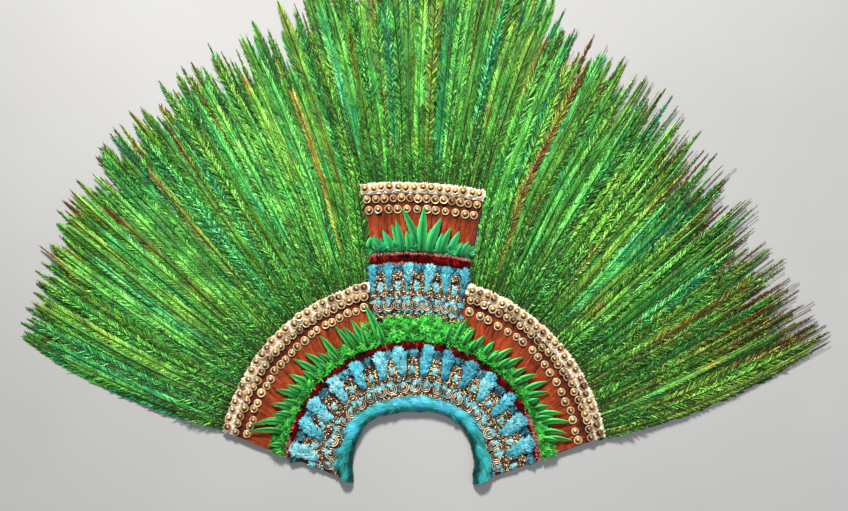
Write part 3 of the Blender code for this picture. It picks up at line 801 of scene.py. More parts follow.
def plume_line(rng, share, start, reach, full_reach, levels):
    """A shaft's line along the fan, nearly straight. levels are its heights at the root, highest and tip."""
    sway, phase, ripple = rng.uniform(-0.004, 0.004), rng.uniform(0, 6), rng.uniform(0, 6)
    low, high, tip = levels

    def shaft(t):
        radius = start + (reach - start) * t
        moved = share + sway * np.sin(1.6 * math.pi * t + phase) * smooth_step(t, 0, 0.4) / 2
        level = mix(low, high, smooth_step(t * (reach - start), 0.0, 0.06))
        level = level + (tip - high) * smooth_step(t, 0.3, 1.0) + 0.0005 * np.sin(9 * t + ripple)
        return raised(on_fan(radius, moved, full_reach), level)

    return shaft, reach - start


# Layers of the fan, from the back to the front: the number in a whole fan, the least and most share of the
# reach, half-width, heights at the root, highest and tip, brightness (lower in the back layers, as painted
# shade under the front ones), pitch of the locks at root and tip, and the share of sleek plumes.
PLUME_LAYERS = (
    (180, (0.88, 1.0), 0.0125, (0.004, 0.0045, 0.0016), 0.52, (0.018, 0.0032), 0.3),
    (150, (0.8, 0.995), 0.012, (0.0048, 0.0075, 0.004), 0.82, (0.008, 0.0029), 0.3),
    (120, (0.68, 0.985), 0.0122, (0.0056, 0.011, 0.006), 1.08, (0.003, 0.0025), 0.45),
    (96, (0.72, 0.99), 0.0122, (0.0062, 0.014, 0.0085), 1.28, (0.0027, 0.0023), 0.65),
    (210, (0.08, 0.42), 0.0108, (0.0066, 0.015, 0.014), 1.0, (0.0027, 0.0027), 0.0),
)
BACK_LAYERS = 2
SHORT = 0.5  # plumes that end below this share of the reach are the short ones at the rim


def plume_hue(rng, degrees):
    """Mostly leaf greens. Gold and rust come towards the two lower corners, and most on the right."""
    left, right = smooth_step(degrees, 118, 160), smooth_step(-degrees, -68, -18)
    corner = smooth_step(-degrees, -42, -18)
    draw = rng.uniform()
    rust = rng.uniform(0.0, 0.15)
    rusty = rng.uniform() < 0.15 + 0.1 * left + 0.42 * right
    rust = rust + rusty * rng.uniform(0.2, 0.5)
    if draw < 0.01 + 0.02 * left + 0.07 * corner:
        return rng.uniform(0.72, 0.86 + 0.08 * corner), rust
    if draw < 0.16:
        return rng.uniform(0.05, 0.22), rust
    return float(np.clip(rng.normal(0.45 - 0.01 * left + 0.18 * right, 0.1), 0.05, 0.8)), rust


def plume_shade(rng, degrees):
    """Plumes differ in brightness, and those in the lower right corner are duller."""
    corner, top = smooth_step(-degrees, -40, -15), math.exp(-(((degrees - 92) / 24) ** 2))
    # painted light: the sides are made lighter and the top a little darker, to even out the lamp's light
    sides = 0.13 * smooth_step(-degrees, -75, -50) + 0.05 * smooth_step(degrees, 115, 165)
    return rng.uniform(0.57, 1.35) * (1 + sides - 0.26 * corner - 0.04 * top)


def length_share(rng, lengths, slender, fuller):
    """How far along the fan's reach a plume ends. fuller, 0 to 1, brings the long ones nearer to the rim."""
    share = rng.uniform(*lengths) - 0.05 * slender * rng.uniform()
    return share if lengths[1] < SHORT else 1 - (1 - share) * (1 - fuller)


def make_plumes():
    """The fan's left, centre and right parts, each with a back and a front piece of barbs, and shafts."""
    green, brown = plume_material(), shaft_material()
    parts = (  # side, angles at the rim, reach, radius where the plumes come out
        ("left", FAN_LEFT, CENTRE_LEFT, SIDE_REACH, RIM_RADIUS - 0.012),
        ("centre", CENTRE_LEFT, CENTRE_RIGHT, CENTRE_REACH, COLUMN_RIM - 0.03),
        ("right", CENTRE_RIGHT, FAN_RIGHT, SIDE_REACH, RIM_RADIUS - 0.012),
    )
    for part, (side, first, last, reach_table, start) in enumerate(parts):
        shafts = Heap()
        for back in (True, False):
            vanes = Heap()
            layers = PLUME_LAYERS[:BACK_LAYERS] if back else PLUME_LAYERS[BACK_LAYERS:]
            counts = [round(row[0] * (first - last) / (FAN_LEFT - FAN_RIGHT)) for row in layers]
            made = 0
            for depth, (count, row) in enumerate(zip(counts, layers)):
                _, lengths, half_width, levels, shade, pitch, sleek_share = row
                rng = np.random.default_rng(100 * part + 10 * depth + back)
                for i in range(count):
                    degrees = mix(first, last, (i + 0.5 + rng.uniform(-0.35, 0.35)) / count)
                    share = fan_share(degrees)
                    full = float(np.interp(degrees + float(fan_lean(share)), *reach_table))
                    slender = float(smooth_step(-degrees, -75, -40))
                    fuller = 0.7 * float(smooth_step(-degrees, -FAN_RIGHT - 8, -FAN_RIGHT - 2))
                    if side == "centre":
                        fuller = 0.45 if back else 0.15
                    reach = start + (full - start) * length_share(rng, lengths, slender, fuller)
                    line = plume_line(rng, share, start, reach, full, levels)
                    hue, rust = plume_hue(rng, degrees)
                    if lengths[1] < SHORT:  # plain leaf green
                        hue, rust = mix(0.42, hue, 0.25), 0.0
                    add_plume(
                        vanes, shafts, rng, line, half_width * rng.uniform(0.8, 1.2), pitch,
                        rng.uniform() < sleek_share * (1.3 - 0.7 * share), slender, hue, rust,
                        shade * plume_shade(rng, degrees), (made, sum(counts)), rng.normal(0, 0.22),
                    )
                    made += 1
            name = f"plumes_{side}_{'back' if back else 'front'}"
            vanes.build(f"{name}_vanes", green, "green_plume", name)
        shafts.build(f"plumes_{side}_shafts", brown, "green_plume")


# The ground cloth, the russet bands and the white borders.


CLOTH_BASE, CLOTH_TOP = 0.0006, 0.0028
BROWN_SPLIT = 0.32  # beyond this distance the column parts the arch's brown feathers in two
ARCH_VANES, COLUMN_VANES = 46, 23  # feathers in a row


def narrow_column(height, share):
    return on_column(height, share, outside=-0.01)


def make_ground_cloth():
    """The stiff woven ground that the bands are sewn to, with a wing up behind the column."""
    heap, area = Heap(), 0.0
    for place, low, high, columns, rows in (
        (on_arch, BAND_START, RIM_RADIUS - 0.006, 97, 14),
        (narrow_column, 0.085, 0.286, 25, 12),
    ):
        share, distance = np.meshgrid(np.linspace(0, 1, columns), np.linspace(low, high, rows))
        flat = place(distance, share)
        top = raised(flat, CLOTH_TOP + 0.0002 * hills(flat, 5, 0.02)).reshape(-1, 3)
        base = raised(flat, CLOTH_BASE).reshape(-1, 3)
        size = rows * columns
        faces = grid_faces(rows, columns)
        rim = np.concatenate([
            np.arange(columns), np.arange(1, rows) * columns + columns - 1,
            size - 2 - np.arange(columns - 1), (rows - 2 - np.arange(rows - 2)) * columns,
        ])
        after = np.roll(rim, -1)
        edge = np.stack([rim, rim + size, after + size, after], 1)
        chart = stacked(share.ravel(), (distance.ravel() - low) / (high - low)) * 0.96 + 0.02
        faces_of_all = [faces[:, ::-1], faces + size, edge]
        heap.add(np.concatenate([top, base]), faces_of_all, (0.5, 1, 0), 0.0, np.tile(chart, (2, 1)))
        corner = top[faces]
        diagonals = corner[:, 2] - corner[:, 0], corner[:, 3] - corner[:, 1]
        area += np.linalg.norm(np.cross(*diagonals), axis=1).sum() / 2
    piece = heap.build("ground_cloth_weave", cloth_material(), "ground_cloth", "ground_cloth")


def brown_tone(u, v):
    return stacked(0.4, (1.0 - 0.45 * smooth_step(u, 0.8, 1.0)) * 0.6, v)


def add_vane_row(heap, rng, place, count, low, high, level, width, shares, dusk, bright=1.0):
    """A row of long flat feathers side by side, each darker down its middle and at its edges, and with a
    dusky end.
    """
    along, across = grid(12, 7, -1)
    distance = mix(low, high, along)
    for i in range(count):
        share = mix(*shares, (i + 0.5 + rng.uniform(-0.2, 0.2)) / count)
        point, right, _ = frame_at(place, distance, share)
        taper = 0.8 + 0.3 * along - 0.4 * smooth_step(along, 0.9, 1.0)
        sway = 0.002 * np.sin(3 * along + rng.uniform(0, 6))
        flat = point + right * (across * width * taper + sway)[..., None]
        z = level + 0.0007 * (1 - across**2) + rng.normal(0, 0.0004) * across + 0.0003 * rng.uniform()
        z = z - 0.0009 * smooth_step(along, 0.9, 1.0)
        outer = smooth_step(distance, high - 0.038, high - 0.016)
        darker_middle_and_edges = 1 - 0.22 * np.exp(-((across / 0.15) ** 2)) - 0.16 * np.abs(across) ** 4
        shade = bright * rng.uniform(0.74, 1.16) * darker_middle_and_edges * (1 - dusk * outer)
        tone = stacked(np.clip(rng.normal(0.5, 0.16), 0, 1), shade, rng.uniform())
        spot = stacked(along * (high - low), across * width, along)
        heap.add_grid(raised(flat, z), tone, spot, chart_cell(i, count, along, (across + 1) / 2))


def make_brown_bands():
    """Russet feathers laid side by side, in two rows on the arch and two on the column."""
    russet = russet_material()
    rng = np.random.default_rng(21)
    ground, lower, upper = flat_crown(BROWN_TOP - 0.0008), BROWN_TOP - 0.0002, BROWN_TOP + 0.0004
    heap = Heap()
    inner = RED_OUTER + 0.0004
    add_skin(heap, on_arch, inner, BROWN_SPLIT + 0.001, BAND_FLOOR, ground, 121, 5, brown_tone)
    for place in (on_left_rim, on_right_rim):
        add_skin(heap, place, BROWN_SPLIT - 0.001, BROWN_OUTER, BAND_FLOOR, ground, 61, 8, brown_tone)
        add_vane_row(heap, rng, place, ARCH_VANES, 0.318, 0.398, lower, 0.0085, (0.01, 0.99), 0.78)
        add_vane_row(heap, rng, place, ARCH_VANES, 0.296, 0.37, upper, 0.008, (0.01, 0.99), 0.25)
    heap.build("brown_feathers_arch", russet, "brown_feather", "brown_band_arch")
    heap = Heap()
    add_skin(heap, on_column, *BROWN_COLUMN, BAND_FLOOR, ground, 41, 8, brown_tone)
    add_vane_row(heap, rng, on_column, COLUMN_VANES, 0.18, 0.268, lower, 0.0085, (0.02, 0.98), 0.6, 0.7)
    add_vane_row(heap, rng, on_column, COLUMN_VANES, 0.15, 0.24, upper, 0.0075, (0.03, 0.97), 0.4, 0.86)
    heap.build("brown_feathers_column", russet, "brown_feather", "brown_band_column")


def make_white_borders():
    """Bunched white feather tips along the rim and the column's top."""
    cream = barb_material("white_tips", CREAM, 0.8, 0.2, 110.0, 0.1)
    crown = round_crown(BAND_FLOOR + 0.002, BAND_FLOOR + 0.005)

    def tone(u, v):
        return stacked(0.48 + 0.5 * value_noise(v * 1.1 + 1, u * 0.03 + 1, 50, 0.006), 0.9, v)

    rows = (
        ("left", on_left_rim, BROWN_OUTER - 0.003, RIM_RADIUS - 0.0045, 150, 2600),
        ("right", on_right_rim, BROWN_OUTER - 0.002, RIM_RADIUS - 0.0015, 150, 2600),
        ("column", on_column, BORDER_COLUMN[0] - 0.0005, BORDER_COLUMN[1], 81, 1500),
    )
    for seed, (side, place, low, high, columns, count) in enumerate(rows):
        rng = np.random.default_rng(40 + seed)
        heap = Heap()
        add_skin(heap, place, low, high, BAND_FLOOR, crown, columns, 7, tone, 0.0012, 0.003, 60 + seed)
        share, u = rng.uniform(0, 1, count), rng.uniform(0, 0.92, count)
        spots = frame_at(place, mix(low, high, u), share)
        clump = hills(spots[0], 61, 0.0055)
        shade = np.clip(rng.uniform(0.95, 1.3, count) + 0.18 * clump, 0.4, 1.5)
        tones = stacked(np.clip(rng.uniform(0.8, 1.1, count) + 0.2 * clump, 0, 1), shade, share)
        level = crown(u) - 0.0004 + 0.0012 * clump
        keep = clump > -0.3
        fluff(heap, rng, spots, level, (0.005, 0.0032), 0.6, 0.1, tones, curl=0.0, fade=0.2, keep=keep)
        heap.build(f"white_tips_{side}", cream, "white_tip", f"white_border_{side}")


DISC_PROFILE = (  # share of the radius, share of the height, and tones above and below, with painted shade below
    (1.0, 0.0, 0.3, 0.25), (1.04, 0.22, 0.78, 0.82), (0.99, 0.38, 0.98, 1.0), (0.89, 0.38, 0.92, 1.0),
    (0.78, 0.28, 0.66, 0.88), (0.7, 0.26, 0.42, 0.16), (0.62, 0.46, 0.5, 0.0), (0.46, 0.78, 0.62, 0.03),
    (0.26, 1.02, 0.74, 0.36), (0.0, 1.1, 0.66, 0.56),
)


def make_discs():
    """Domed gold discs, each a little out of line, of its own size and slightly tilted."""
    gold = gold_material("disc_gold", DISC_GOLD, (0.42, 0.25, 0.18, 1))
    rng = np.random.default_rng(70)
    on_brown, on_white = BROWN_TOP + 0.0012, BAND_FLOOR + 0.0046

    def make_rows(name, nodes, *rows):
        """Each row: place, distance, end shares, count, level, share of coppery discs, stray, brightness."""
        heap = Heap()
        for place, distance, first, last, count, level, copper, stray, bright in rows:
            share = mix(first, last, (np.arange(count) + rng.uniform(-90, 90, count) * stray) / (count - 1))
            centre = place(distance + rng.normal(0, stray, count), share)
            size = DISC_RADIUS * rng.uniform(0.9, 1.1, count), DISC_HEIGHT * rng.uniform(0.85, 1.12, count)
            chance = rng.uniform(0, 0.5, count) + 0.5 * (rng.uniform(0, 1, count) < copper)
            shade = bright * rng.uniform(0.72, 1.13, count) * np.where(chance > 0.6, 0.92, 1.0)
            tilt = rng.normal(0, 0.08, (count, 2))
            add_turned(heap, DISC_PROFILE, centre, level, size, tilt, stacked(0, shade, chance))
        heap.build(name, gold, "gold", *nodes)

    middle, stray = (BROWN_OUTER + RIM_RADIUS) / 2, 0.0016
    make_rows(
        "gold_discs_arch", (),
        (on_left_rim, 0.3915, 0.02, 0.975, 25, on_brown, 0.5, stray, 1.0),
        (on_left_rim, 0.367, 0.03, 0.97, 22, on_brown, 0.25, stray, 1.15),
        (on_right_rim, 0.3905, 0.025, 0.98, 25, on_brown, 0.65, stray, 1.0),
        (on_right_rim, 0.364, 0.035, 0.97, 18, on_brown, 0.15, stray, 1.15),
        (on_left_rim, middle, 0.025, 0.975, 24, on_white, 0.45, stray, 1.0),
        (on_right_rim, middle - 0.0005, 0.025, 0.975, 25, on_white, 0.75, stray, 1.0),
    )
    border = sum(BORDER_COLUMN) / 2 + 0.002
    make_rows("gold_discs_column_border", (), (on_column, border, 0.04, 0.96, 15, on_white, 0.1, 0.001, 1.2))
    for row, height, count in (("upper", 0.2585, 14), ("lower", 0.235, 12)):
        nodes = [f"disc_{row}_{i + 1:02d}" for i in range(count)]
        discs = (on_column, height, 0.045, 0.955, count, on_brown, 0.25, 0.0007, 1.05)
        make_rows(f"gold_discs_column_{row}", nodes, discs)


# The green garlands and the red bands.

LEAF_START, COLUMN_LEAF_START = 0.297, 0.145
ARCH_CELLS, COLUMN_CELLS = 64, 48  # of the leaves' flat maps
SMALL_ARCH_LEAVES, SMALL_COLUMN_LEAVES = 18, 13  # at the bands' edge, between the tall ones
COLUMN_FOOT = 0.125  # half the share of the arch that lies under the column
ARCH_LEAVES = (  # the angle and the distance of each leaf's tip, and its half-width
    (106.8, 0.376, 0.0072), (112.8, 0.353, 0.0066), (116.7, 0.347, 0.0064), (119.2, 0.356, 0.006),
    (125.5, 0.355, 0.0066), (133.5, 0.345, 0.007), (138.2, 0.352, 0.007), (143.1, 0.338, 0.0068),
    (146.8, 0.33, 0.0064), (150.7, 0.342, 0.007), (155.9, 0.336, 0.0066), (159.3, 0.326, 0.006),
    (163.1, 0.343, 0.0064), (166.4, 0.358, 0.0062), (169.2, 0.362, 0.0058), (129.6, 0.328, 0.0056),
    (70.0, 0.349, 0.0068), (66.2, 0.336, 0.0062), (61.8, 0.331, 0.0064), (57.4, 0.331, 0.0062),
    (50.2, 0.341, 0.0066), (44.9, 0.341, 0.0064), (41.6, 0.331, 0.006), (37.1, 0.337, 0.0066),
    (32.4, 0.347, 0.0064), (28.9, 0.337, 0.0062), (24.6, 0.325, 0.006), (19.7, 0.341, 0.0068),
    (15.3, 0.352, 0.0064), (12.3, 0.337, 0.006), (8.8, 0.346, 0.0058), (54.0, 0.322, 0.0054),
)
COLUMN_LEAVES = (  # the share and the height of each leaf's tip, its half-width and its lean
    (0.325, 0.237, 0.0088, -0.42), (0.52, 0.24, 0.0092, 0.02), (0.68, 0.221, 0.0088, 0.28),
    (0.235, 0.202, 0.0078, -0.3), (0.15, 0.191, 0.0076, -0.35), (0.27, 0.213, 0.0066, -0.2),
    (0.6, 0.196, 0.007, 0.1), (0.42, 0.196, 0.007, -0.1), (0.775, 0.203, 0.007, 0.25),
    (0.855, 0.197, 0.008, 0.25), (0.06, 0.183, 0.0068, -0.35), (0.955, 0.179, 0.0066, 0.3),
    (0.47, 0.185, 0.0066, 0.0), (0.37, 0.188, 0.0068, -0.15), (0.7, 0.188, 0.0066, 0.1),
    (0.03, 0.172, 0.006, -0.5), (0.98, 0.17, 0.0058, 0.5), (0.905, 0.174, 0.0062, 0.2),
)


def add_leaf(heap, rng, place, share, start, tip, half_width, level, lean, teal, cell, rise=0.0055):
    """A horn-shaped feather: folded along its midrib, blunt at its tip, which lean bends to the side."""
    along, across = grid(21, 7, -1)
    root, right, outwards = frame_at(place, start, share)
    length = tip - start
    bow = lean * length * along**1.6
    centre = root + outwards * (length * along)[..., None] + right * bow[..., None]
    width = half_width * (0.6 + 0.5 * np.sin(math.pi * np.clip(along * 0.85 + 0.1, 0, 1)))
    width = width * np.clip(1 - along**2.6, 0, 1) ** 0.62
    nick = 1 + 0.08 * np.abs(across) ** 3 * rng.uniform(-1, 1, along.shape)
    flat = centre + right * (across * width * nick)[..., None]
    fold = 0.0024 * (1 - np.abs(across) ** 1.5) - 0.0011 * np.exp(-((across / 0.1) ** 2))
    z = level + rise * np.sin(math.pi * np.clip(0.15 + 0.75 * along, 0, 1)) + fold
    z = z + 0.0004 * rng.uniform(-1, 1, along.shape) * np.abs(across)
    lit = np.where(across < 0, 1.3, 0.74)  # one side of the fold faces the light
    shade = rng.uniform(0.7, 1.2) * (0.45 + 0.55 * smooth_step(along, 0, 0.35)) * lit
    tone = stacked(np.abs(across), shade, rng.uniform(*teal))
    spot = stacked(along * length, across * width, along)
    heap.add_grid(raised(flat, z), tone, spot, chart_cell(*cell, along, (across + 1) / 2))


def make_garlands():
    """Curly green down along the bands' inner edge, with horn-shaped leaves that stand out of it."""
    down = barb_material("green_down", GARLAND, 0.6, 0.35, 80.0)
    teal_down = barb_material("teal_down", TEAL_DOWN, 0.5, 0.35, 80.0)
    floor = BROWN_TOP + 0.0005
    rows = (  # side, place, both edges, top, columns, material; barbs' number, size, spread, lift and curl
        ("arch", on_arch, RED_OUTER + 0.0035, 0.309, 0.0215, 141, down,
         8600, (0.0085, 0.0025), 0.9, 0.38, 0.6),
        ("column", on_column, BROWN_COLUMN[0] + 0.002, 0.163, 0.0225, 41, teal_down,
         3000, (0.011, 0.0028), 0.8, 0.25, 0.5),
    )
    for seed, row in enumerate(rows):
        side, place, low, high, top, columns, material, count, size, spread, lift, curl = row
        rng = np.random.default_rng(80 + seed)
        heap = Heap()
        crown, under = round_crown(floor + 0.001, top - 0.0035), round_crown(floor, top - 0.0065)
        add_skin(heap, place, low, high, floor, under, columns, 7, (0.2, 0.5, 0.5), 0.0012, 0.003, 83 + seed)
        share, u = rng.uniform(0, 1, count), rng.uniform(0, 1, count)
        distance, middle, swell = mix(low, high, u), False, 0.0
        if side == "arch":  # tall tufts at the foot of the column
            middle = np.abs(share - 0.5) < COLUMN_FOOT
            swell = np.abs(np.sin((share - 0.5) * math.pi / 0.078)) ** 0.6
            distance = np.where(middle, mix(low, 0.319 + 0.018 * swell, u), distance)
        spots = frame_at(place, distance, share)
        clump, fine = hills(spots[0], 90, 0.013), hills(spots[0], 91, 0.005)
        level = crown(u) - 0.001 + 0.0016 * clump
        level = np.where(middle, level + 0.0035 * swell * u, level)
        shade = np.clip(1.08 + 0.6 * clump + 0.8 * fine + rng.normal(0, 0.16, count), 0.08, 2.0)
        shade = shade * (np.where(middle, 1.35, 1.0) if side == "arch" else 0.85)
        tone = stacked(np.clip(0.58 + 0.25 * fine + rng.normal(0, 0.15, count), 0, 1), shade, share)
        fluff(heap, rng, spots, level, size, spread, lift, tone, 0.28, curl)
        heap.build(f"green_down_{side}", material, "green_leaf", f"green_garland_{side}")
    leaf = leaf_material()
    rng = np.random.default_rng(95)
    heap = Heap()
    for i, (degrees, tip, wide) in enumerate(ARCH_LEAVES):
        lean = (0.2 + 0.34 * smooth_step(abs(degrees - 90), 15, 75)) * np.sign(90 - degrees)
        lean = lean + rng.normal(0, 0.07)
        root = arch_share(LEAF_START, degrees + math.degrees(lean * (tip - LEAF_START) / tip))
        level = 0.014 + 0.0012 * (i % 3)
        cell = (i, ARCH_CELLS)
        add_leaf(heap, rng, on_arch, root, LEAF_START, tip, wide * 1.06, level, lean, (0.0, 0.55), cell)
    for i in range(SMALL_ARCH_LEAVES):
        share = mix(0.03, 0.97, i / (SMALL_ARCH_LEAVES - 1)) + rng.uniform(-0.02, 0.02)
        lean = (share - 0.5) * 1.2 + rng.normal(0, 0.1)
        tip = rng.uniform(0.314, 0.326) + 0.012 * (abs(share - 0.5) < COLUMN_FOOT)
        cell = (len(ARCH_LEAVES) + i, ARCH_CELLS)
        if abs(share - 0.5) > 0.06:
            add_leaf(heap, rng, on_arch, share, 0.29, tip, 0.0058, 0.0165, lean, (0.0, 0.4), cell)
    heap.build("green_leaves_arch", leaf, "green_leaf")
    heap = Heap()
    for i, (share, tip, wide, lean) in enumerate(COLUMN_LEAVES):
        start, cell = COLUMN_LEAF_START, (i, COLUMN_CELLS)
        root = np.clip(share - lean * (tip - start) / (2 * np.interp(tip, *COLUMN_SIDES)), 0.02, 0.98)
        level = 0.014 + 0.001 * (i % 3) + 0.0015 * (i < 3)
        add_leaf(heap, rng, on_column, root, start, tip, wide * 1.12, level, lean, (0.5, 1.05), cell)
    for i in range(SMALL_COLUMN_LEAVES):
        share = mix(0.02, 0.98, i / (SMALL_COLUMN_LEAVES - 1)) + rng.uniform(-0.06, 0.06)
        share = np.clip(share, 0.01, 0.99)
        lean = (share - 0.5) * 1.1 + rng.normal(0, 0.4)
        start, tip, wide = rng.uniform(0.143, 0.156), rng.uniform(0.16, 0.19), rng.uniform(0.0045, 0.0085)
        level, cell = rng.uniform(0.012, 0.0165), (len(COLUMN_LEAVES) + i, COLUMN_CELLS)
        add_leaf(heap, rng, on_column, share, start, tip, wide, level, lean, (0.45, 0.95), cell, 0.004)
    heap.build("green_leaves_column", leaf, "green_leaf")


def make_red_bands():
    """Crimson pile that lies outwards, with pale pink tips showing along its outer edge."""
    crimson = barb_material("crimson_pile", RED, 0.7, 0.08, 90.0, gloss=0.06)
    low, high = BLUE_OUTER + 0.0004, RED_OUTER + 0.0025
    rows = (  # side, place, both edges, floor, top, columns; barbs; streaks, blotches, brightness and reach
        ("arch", on_arch, low, high, ARCH_FLOOR, 0.0155, 141, 3900, 2.4, 0.008, 0.8, 0.008),
        ("column", on_column, 0.114, 0.138, BAND_FLOOR, 0.0185, 41, 2600, 0.9, 0.013, 0.56, 0.0115),
    )
    for seed, row in enumerate(rows):
        side, place, low, high, floor, top, columns, count, streaks, blotches, bright, reach = row
        rng = np.random.default_rng(110 + seed)
        heap, arch, skin = Heap(), side == "arch", (0.24, 0.8, 0.5)
        crown = round_crown(mix(floor, top, 0.3), top - 0.002)
        add_skin(heap, place, low, high, floor, crown, columns, 6, skin, 0.0008, 0.002, 113 + seed)
        share, u = rng.uniform(0, 1, count), rng.uniform(-0.05, 0.78, count)
        spots = frame_at(place, mix(low, high, u), share)
        streak = value_noise(share * streaks + 1, share * 0 + 1, 118 + seed, 0.03)
        edge = smooth_step(np.abs(share - 0.5), 0.34, 0.5) if arch else 0.85
        glint = smooth_step(streak, 0.35, 1.0) * edge * rng.uniform(0.5, 1.0, count)
        blotch = hills(spots[0], 120, blotches)
        hue = np.clip(rng.normal(0.43, 0.06, count) + 0.2 * streak + 0.14 * blotch + 0.3 * glint, 0, 1)
        shade = np.clip(0.95 + 0.35 * streak + 0.75 * blotch + rng.normal(0, 0.2, count), 0.08, 2.0)
        tone, level = stacked(hue, shade * bright, share), crown(np.clip(u, 0, 1)) - 0.0008
        fluff(heap, rng, spots, level, (reach, 0.0016), 0.16, 0.18, tone, 0.3, 0.2, LONG_BLADE, 0.35)
        tips = count // 2  # pale pink ends along the outer edge
        share = rng.uniform(0, 1, tips)
        inset = rng.uniform(0.0005, 0.0035, tips)
        if arch:
            ends = 1.5 * smooth_step(share, 0.82, 0.95) + 0.9 * smooth_step(-share, -0.12, -0.02)
            inset = inset + 0.007 * rng.uniform(0, 1, tips) ** 1.5 * ends
        else:
            ends = np.full(tips, 1.4)
        spots = frame_at(place, high - inset, share)
        keep = rng.uniform(0, 1, tips) < ends * (0.65 + 0.6 * hills(spots[0], 119, 0.007))
        tone = stacked(rng.uniform(0.78, 0.96, tips), rng.uniform(0.7, 1.25, tips), share)
        level = crown(np.clip(1 - inset / (high - low), 0, 0.85)) + 0.0004
        fluff(heap, rng, spots, level, (0.0064, 0.002), 0.5, 0.25, tone, fade=0.65, keep=keep)
        if not arch:  # and a few along the inner edge
            count = 160
            share = np.clip(rng.normal(0.24, 0.1, count), 0.02, 0.98)
            spots = frame_at(place, low + rng.uniform(0.0, 0.004, count), share)
            tone = stacked(rng.uniform(0.75, 1.0, count), rng.uniform(0.7, 1.1, count), share)
            fluff(heap, rng, spots, np.full(count, crown(0.15)), (0.006, 0.0016), 0.3, 0.25, tone)
        heap.build(f"crimson_pile_{side}", crimson, "red_feather", f"red_band_{side}")


# The blue bands, their gold work and the roll.

ARCH_GROUND, BLOCK_GROUND = 0.0085, 0.0114  # how high the dark ground lies
ARCH_TUFTS = (  # angle, half-width at the outer end, place on the blue ramp
    (170.5, 0.014, 0.88), (158.5, 0.0135, 0.76), (147.0, 0.0145, 0.8), (133.0, 0.014, 0.84),
    (120.0, 0.011, 0.68), (107.5, 0.011, 0.82), (96.0, 0.012, 0.8), (84.0, 0.0105, 0.66),
    (71.5, 0.0098, 0.56), (60.5, 0.012, 0.54), (48.0, 0.012, 0.8), (36.5, 0.011, 0.74),
    (24.3, 0.0148, 0.8), (11.8, 0.014, 0.76),
)
COLUMN_TUFTS = (  # share, half-width at the outer end, place on the blue ramp
    (0.022, 0.006, 0.66), (0.19, 0.0088, 0.6), (0.385, 0.0088, 0.78), (0.59, 0.0108, 0.82),
    (0.79, 0.0098, 0.66), (0.965, 0.008, 0.58),
)
ARCH_TONGUES = tuple(float(arch_share(0.235, degrees)) for degrees, _, _ in ARCH_TUFTS)
COLUMN_TONGUES = tuple(share for share, _, _ in COLUMN_TUFTS)
ARCH_CRESCENTS = np.linspace(0.03, 0.97, 23)
COLUMN_CRESCENTS = np.linspace(0.09, 0.91, 9)
BEAD_ROW = 0.0034  # from one row of beaten lumps to the next
LUMP_APART = 0.0046  # across a frame's bars


def between(shares):
    return [(a + b) / 2 for a, b in zip(shares, shares[1:])]


def add_tuft(heap, rng, place, share, ends, half_width, levels, count, hue, blade=0.0085, narrow=0.6,
             bright=1.0, torn=-0.46, motley=0.07):
    """A plump tongue of matted barbs that lie outwards, broadest near its end.

    torn sets how much of it is dark, and motley how far its barbs differ in colour.
    """
    (start, end), (floor, top) = ends, levels
    lean = rng.normal(0, 0.06)
    length = end - start - 0.25 * blade

    def spots(a, b):
        root, right, outwards = frame_at(place, start, np.full(a.shape, share))
        outline = np.interp(a, (0, 0.2, 0.7, 0.9, 1), (narrow * 0.8, narrow, 1.0, 0.95, 0.62))
        ragged = 1.0 + 0.3 * value_noise(a * 8 + 30 * share, np.sign(b) + 2, 151)
        flat = root + outwards * (length * a)[..., None]
        flat = flat + right * (b * half_width * outline * ragged + lean * length * a)[..., None]
        mound = np.interp(a, (0, 0.12, 0.6, 0.95, 1), (0.3, 0.7, 1.0, 0.8, 0.5)) * (1 - 0.8 * b**4) ** 0.5
        return flat, right, outwards, mound

    a, b = grid(14, 9, -1)
    flat, _, _, mound = spots(a, b)
    lumps = hills(flat, 152, 0.0035)
    level = floor + (top - 0.002 - floor) * mound + 0.0012 * lumps
    level[:, 0], level[:, -1] = floor - 0.0002, floor - 0.0002
    # painted shade: the skin is darker where the tongue lies low
    tone = stacked(hue - 0.2 + 0.1 * lumps, bright * (0.45 + 0.25 * mound), 0.5)
    heap.add_grid(raised(flat, level), tone, 0.0, stacked(0.02 + 0.3 * a, 0.3 + 0.2 * b))
    a, b = rng.uniform(0, 1, count), rng.uniform(-1, 1, count)
    flat, right, outwards, mound = spots(a, b)
    hole, broad = hills(flat, 153, 0.0034), hills(flat, 154, 0.012)
    level = floor + (top - floor) * mound * rng.uniform(0.86, 1.04, count) - 0.0006 + 0.0007 * hole
    fan = unit(outwards + right * (0.3 * b + lean)[:, None])
    shade = 1.19 + 0.15 * hole + 0.22 * broad - 0.7 * (hole < torn) + rng.normal(0, 0.13, count)
    # painted shade: barbs are darker where the tongue lies low
    shade = bright * np.clip(shade, 0.15, 1.5) * (0.84 + 0.22 * mound)
    hues = np.clip(rng.normal(hue, motley, count) + 0.08 * broad, 0, 1)
    tone = stacked(hues, shade, rng.uniform(0, 1, count))
    places, size = (flat, rightward(fan), fan), (blade * 0.9, 0.002)
    fluff(heap, rng, places, level, size, 0.22, 0.05, tone, curl=0.35, fade=0.34)


def add_down_row(heap, rng, place, low, high, level, count, hue):
    """A ragged row of short pale barbs in small clumps."""
    share = rng.uniform(0, 1, count)
    spots = frame_at(place, mix(low, high - 0.004, rng.uniform(0, 1, count)), share)
    clump = hills(spots[0], 150, 0.006)
    hues = np.clip(hue + 0.3 * clump + rng.normal(0, 0.1, count), 0, 1)
    tone = stacked(hues, np.clip(rng.normal(1.1, 0.25, count) + 0.45 * clump, 0.2, 1.8), share)
    level = level + rng.uniform(0, 0.0025, count)
    fluff(heap, rng, spots, level, (0.0062, 0.0019), 0.6, 0.3, tone, curl=0.5, fade=0.3, keep=clump > 0.08)


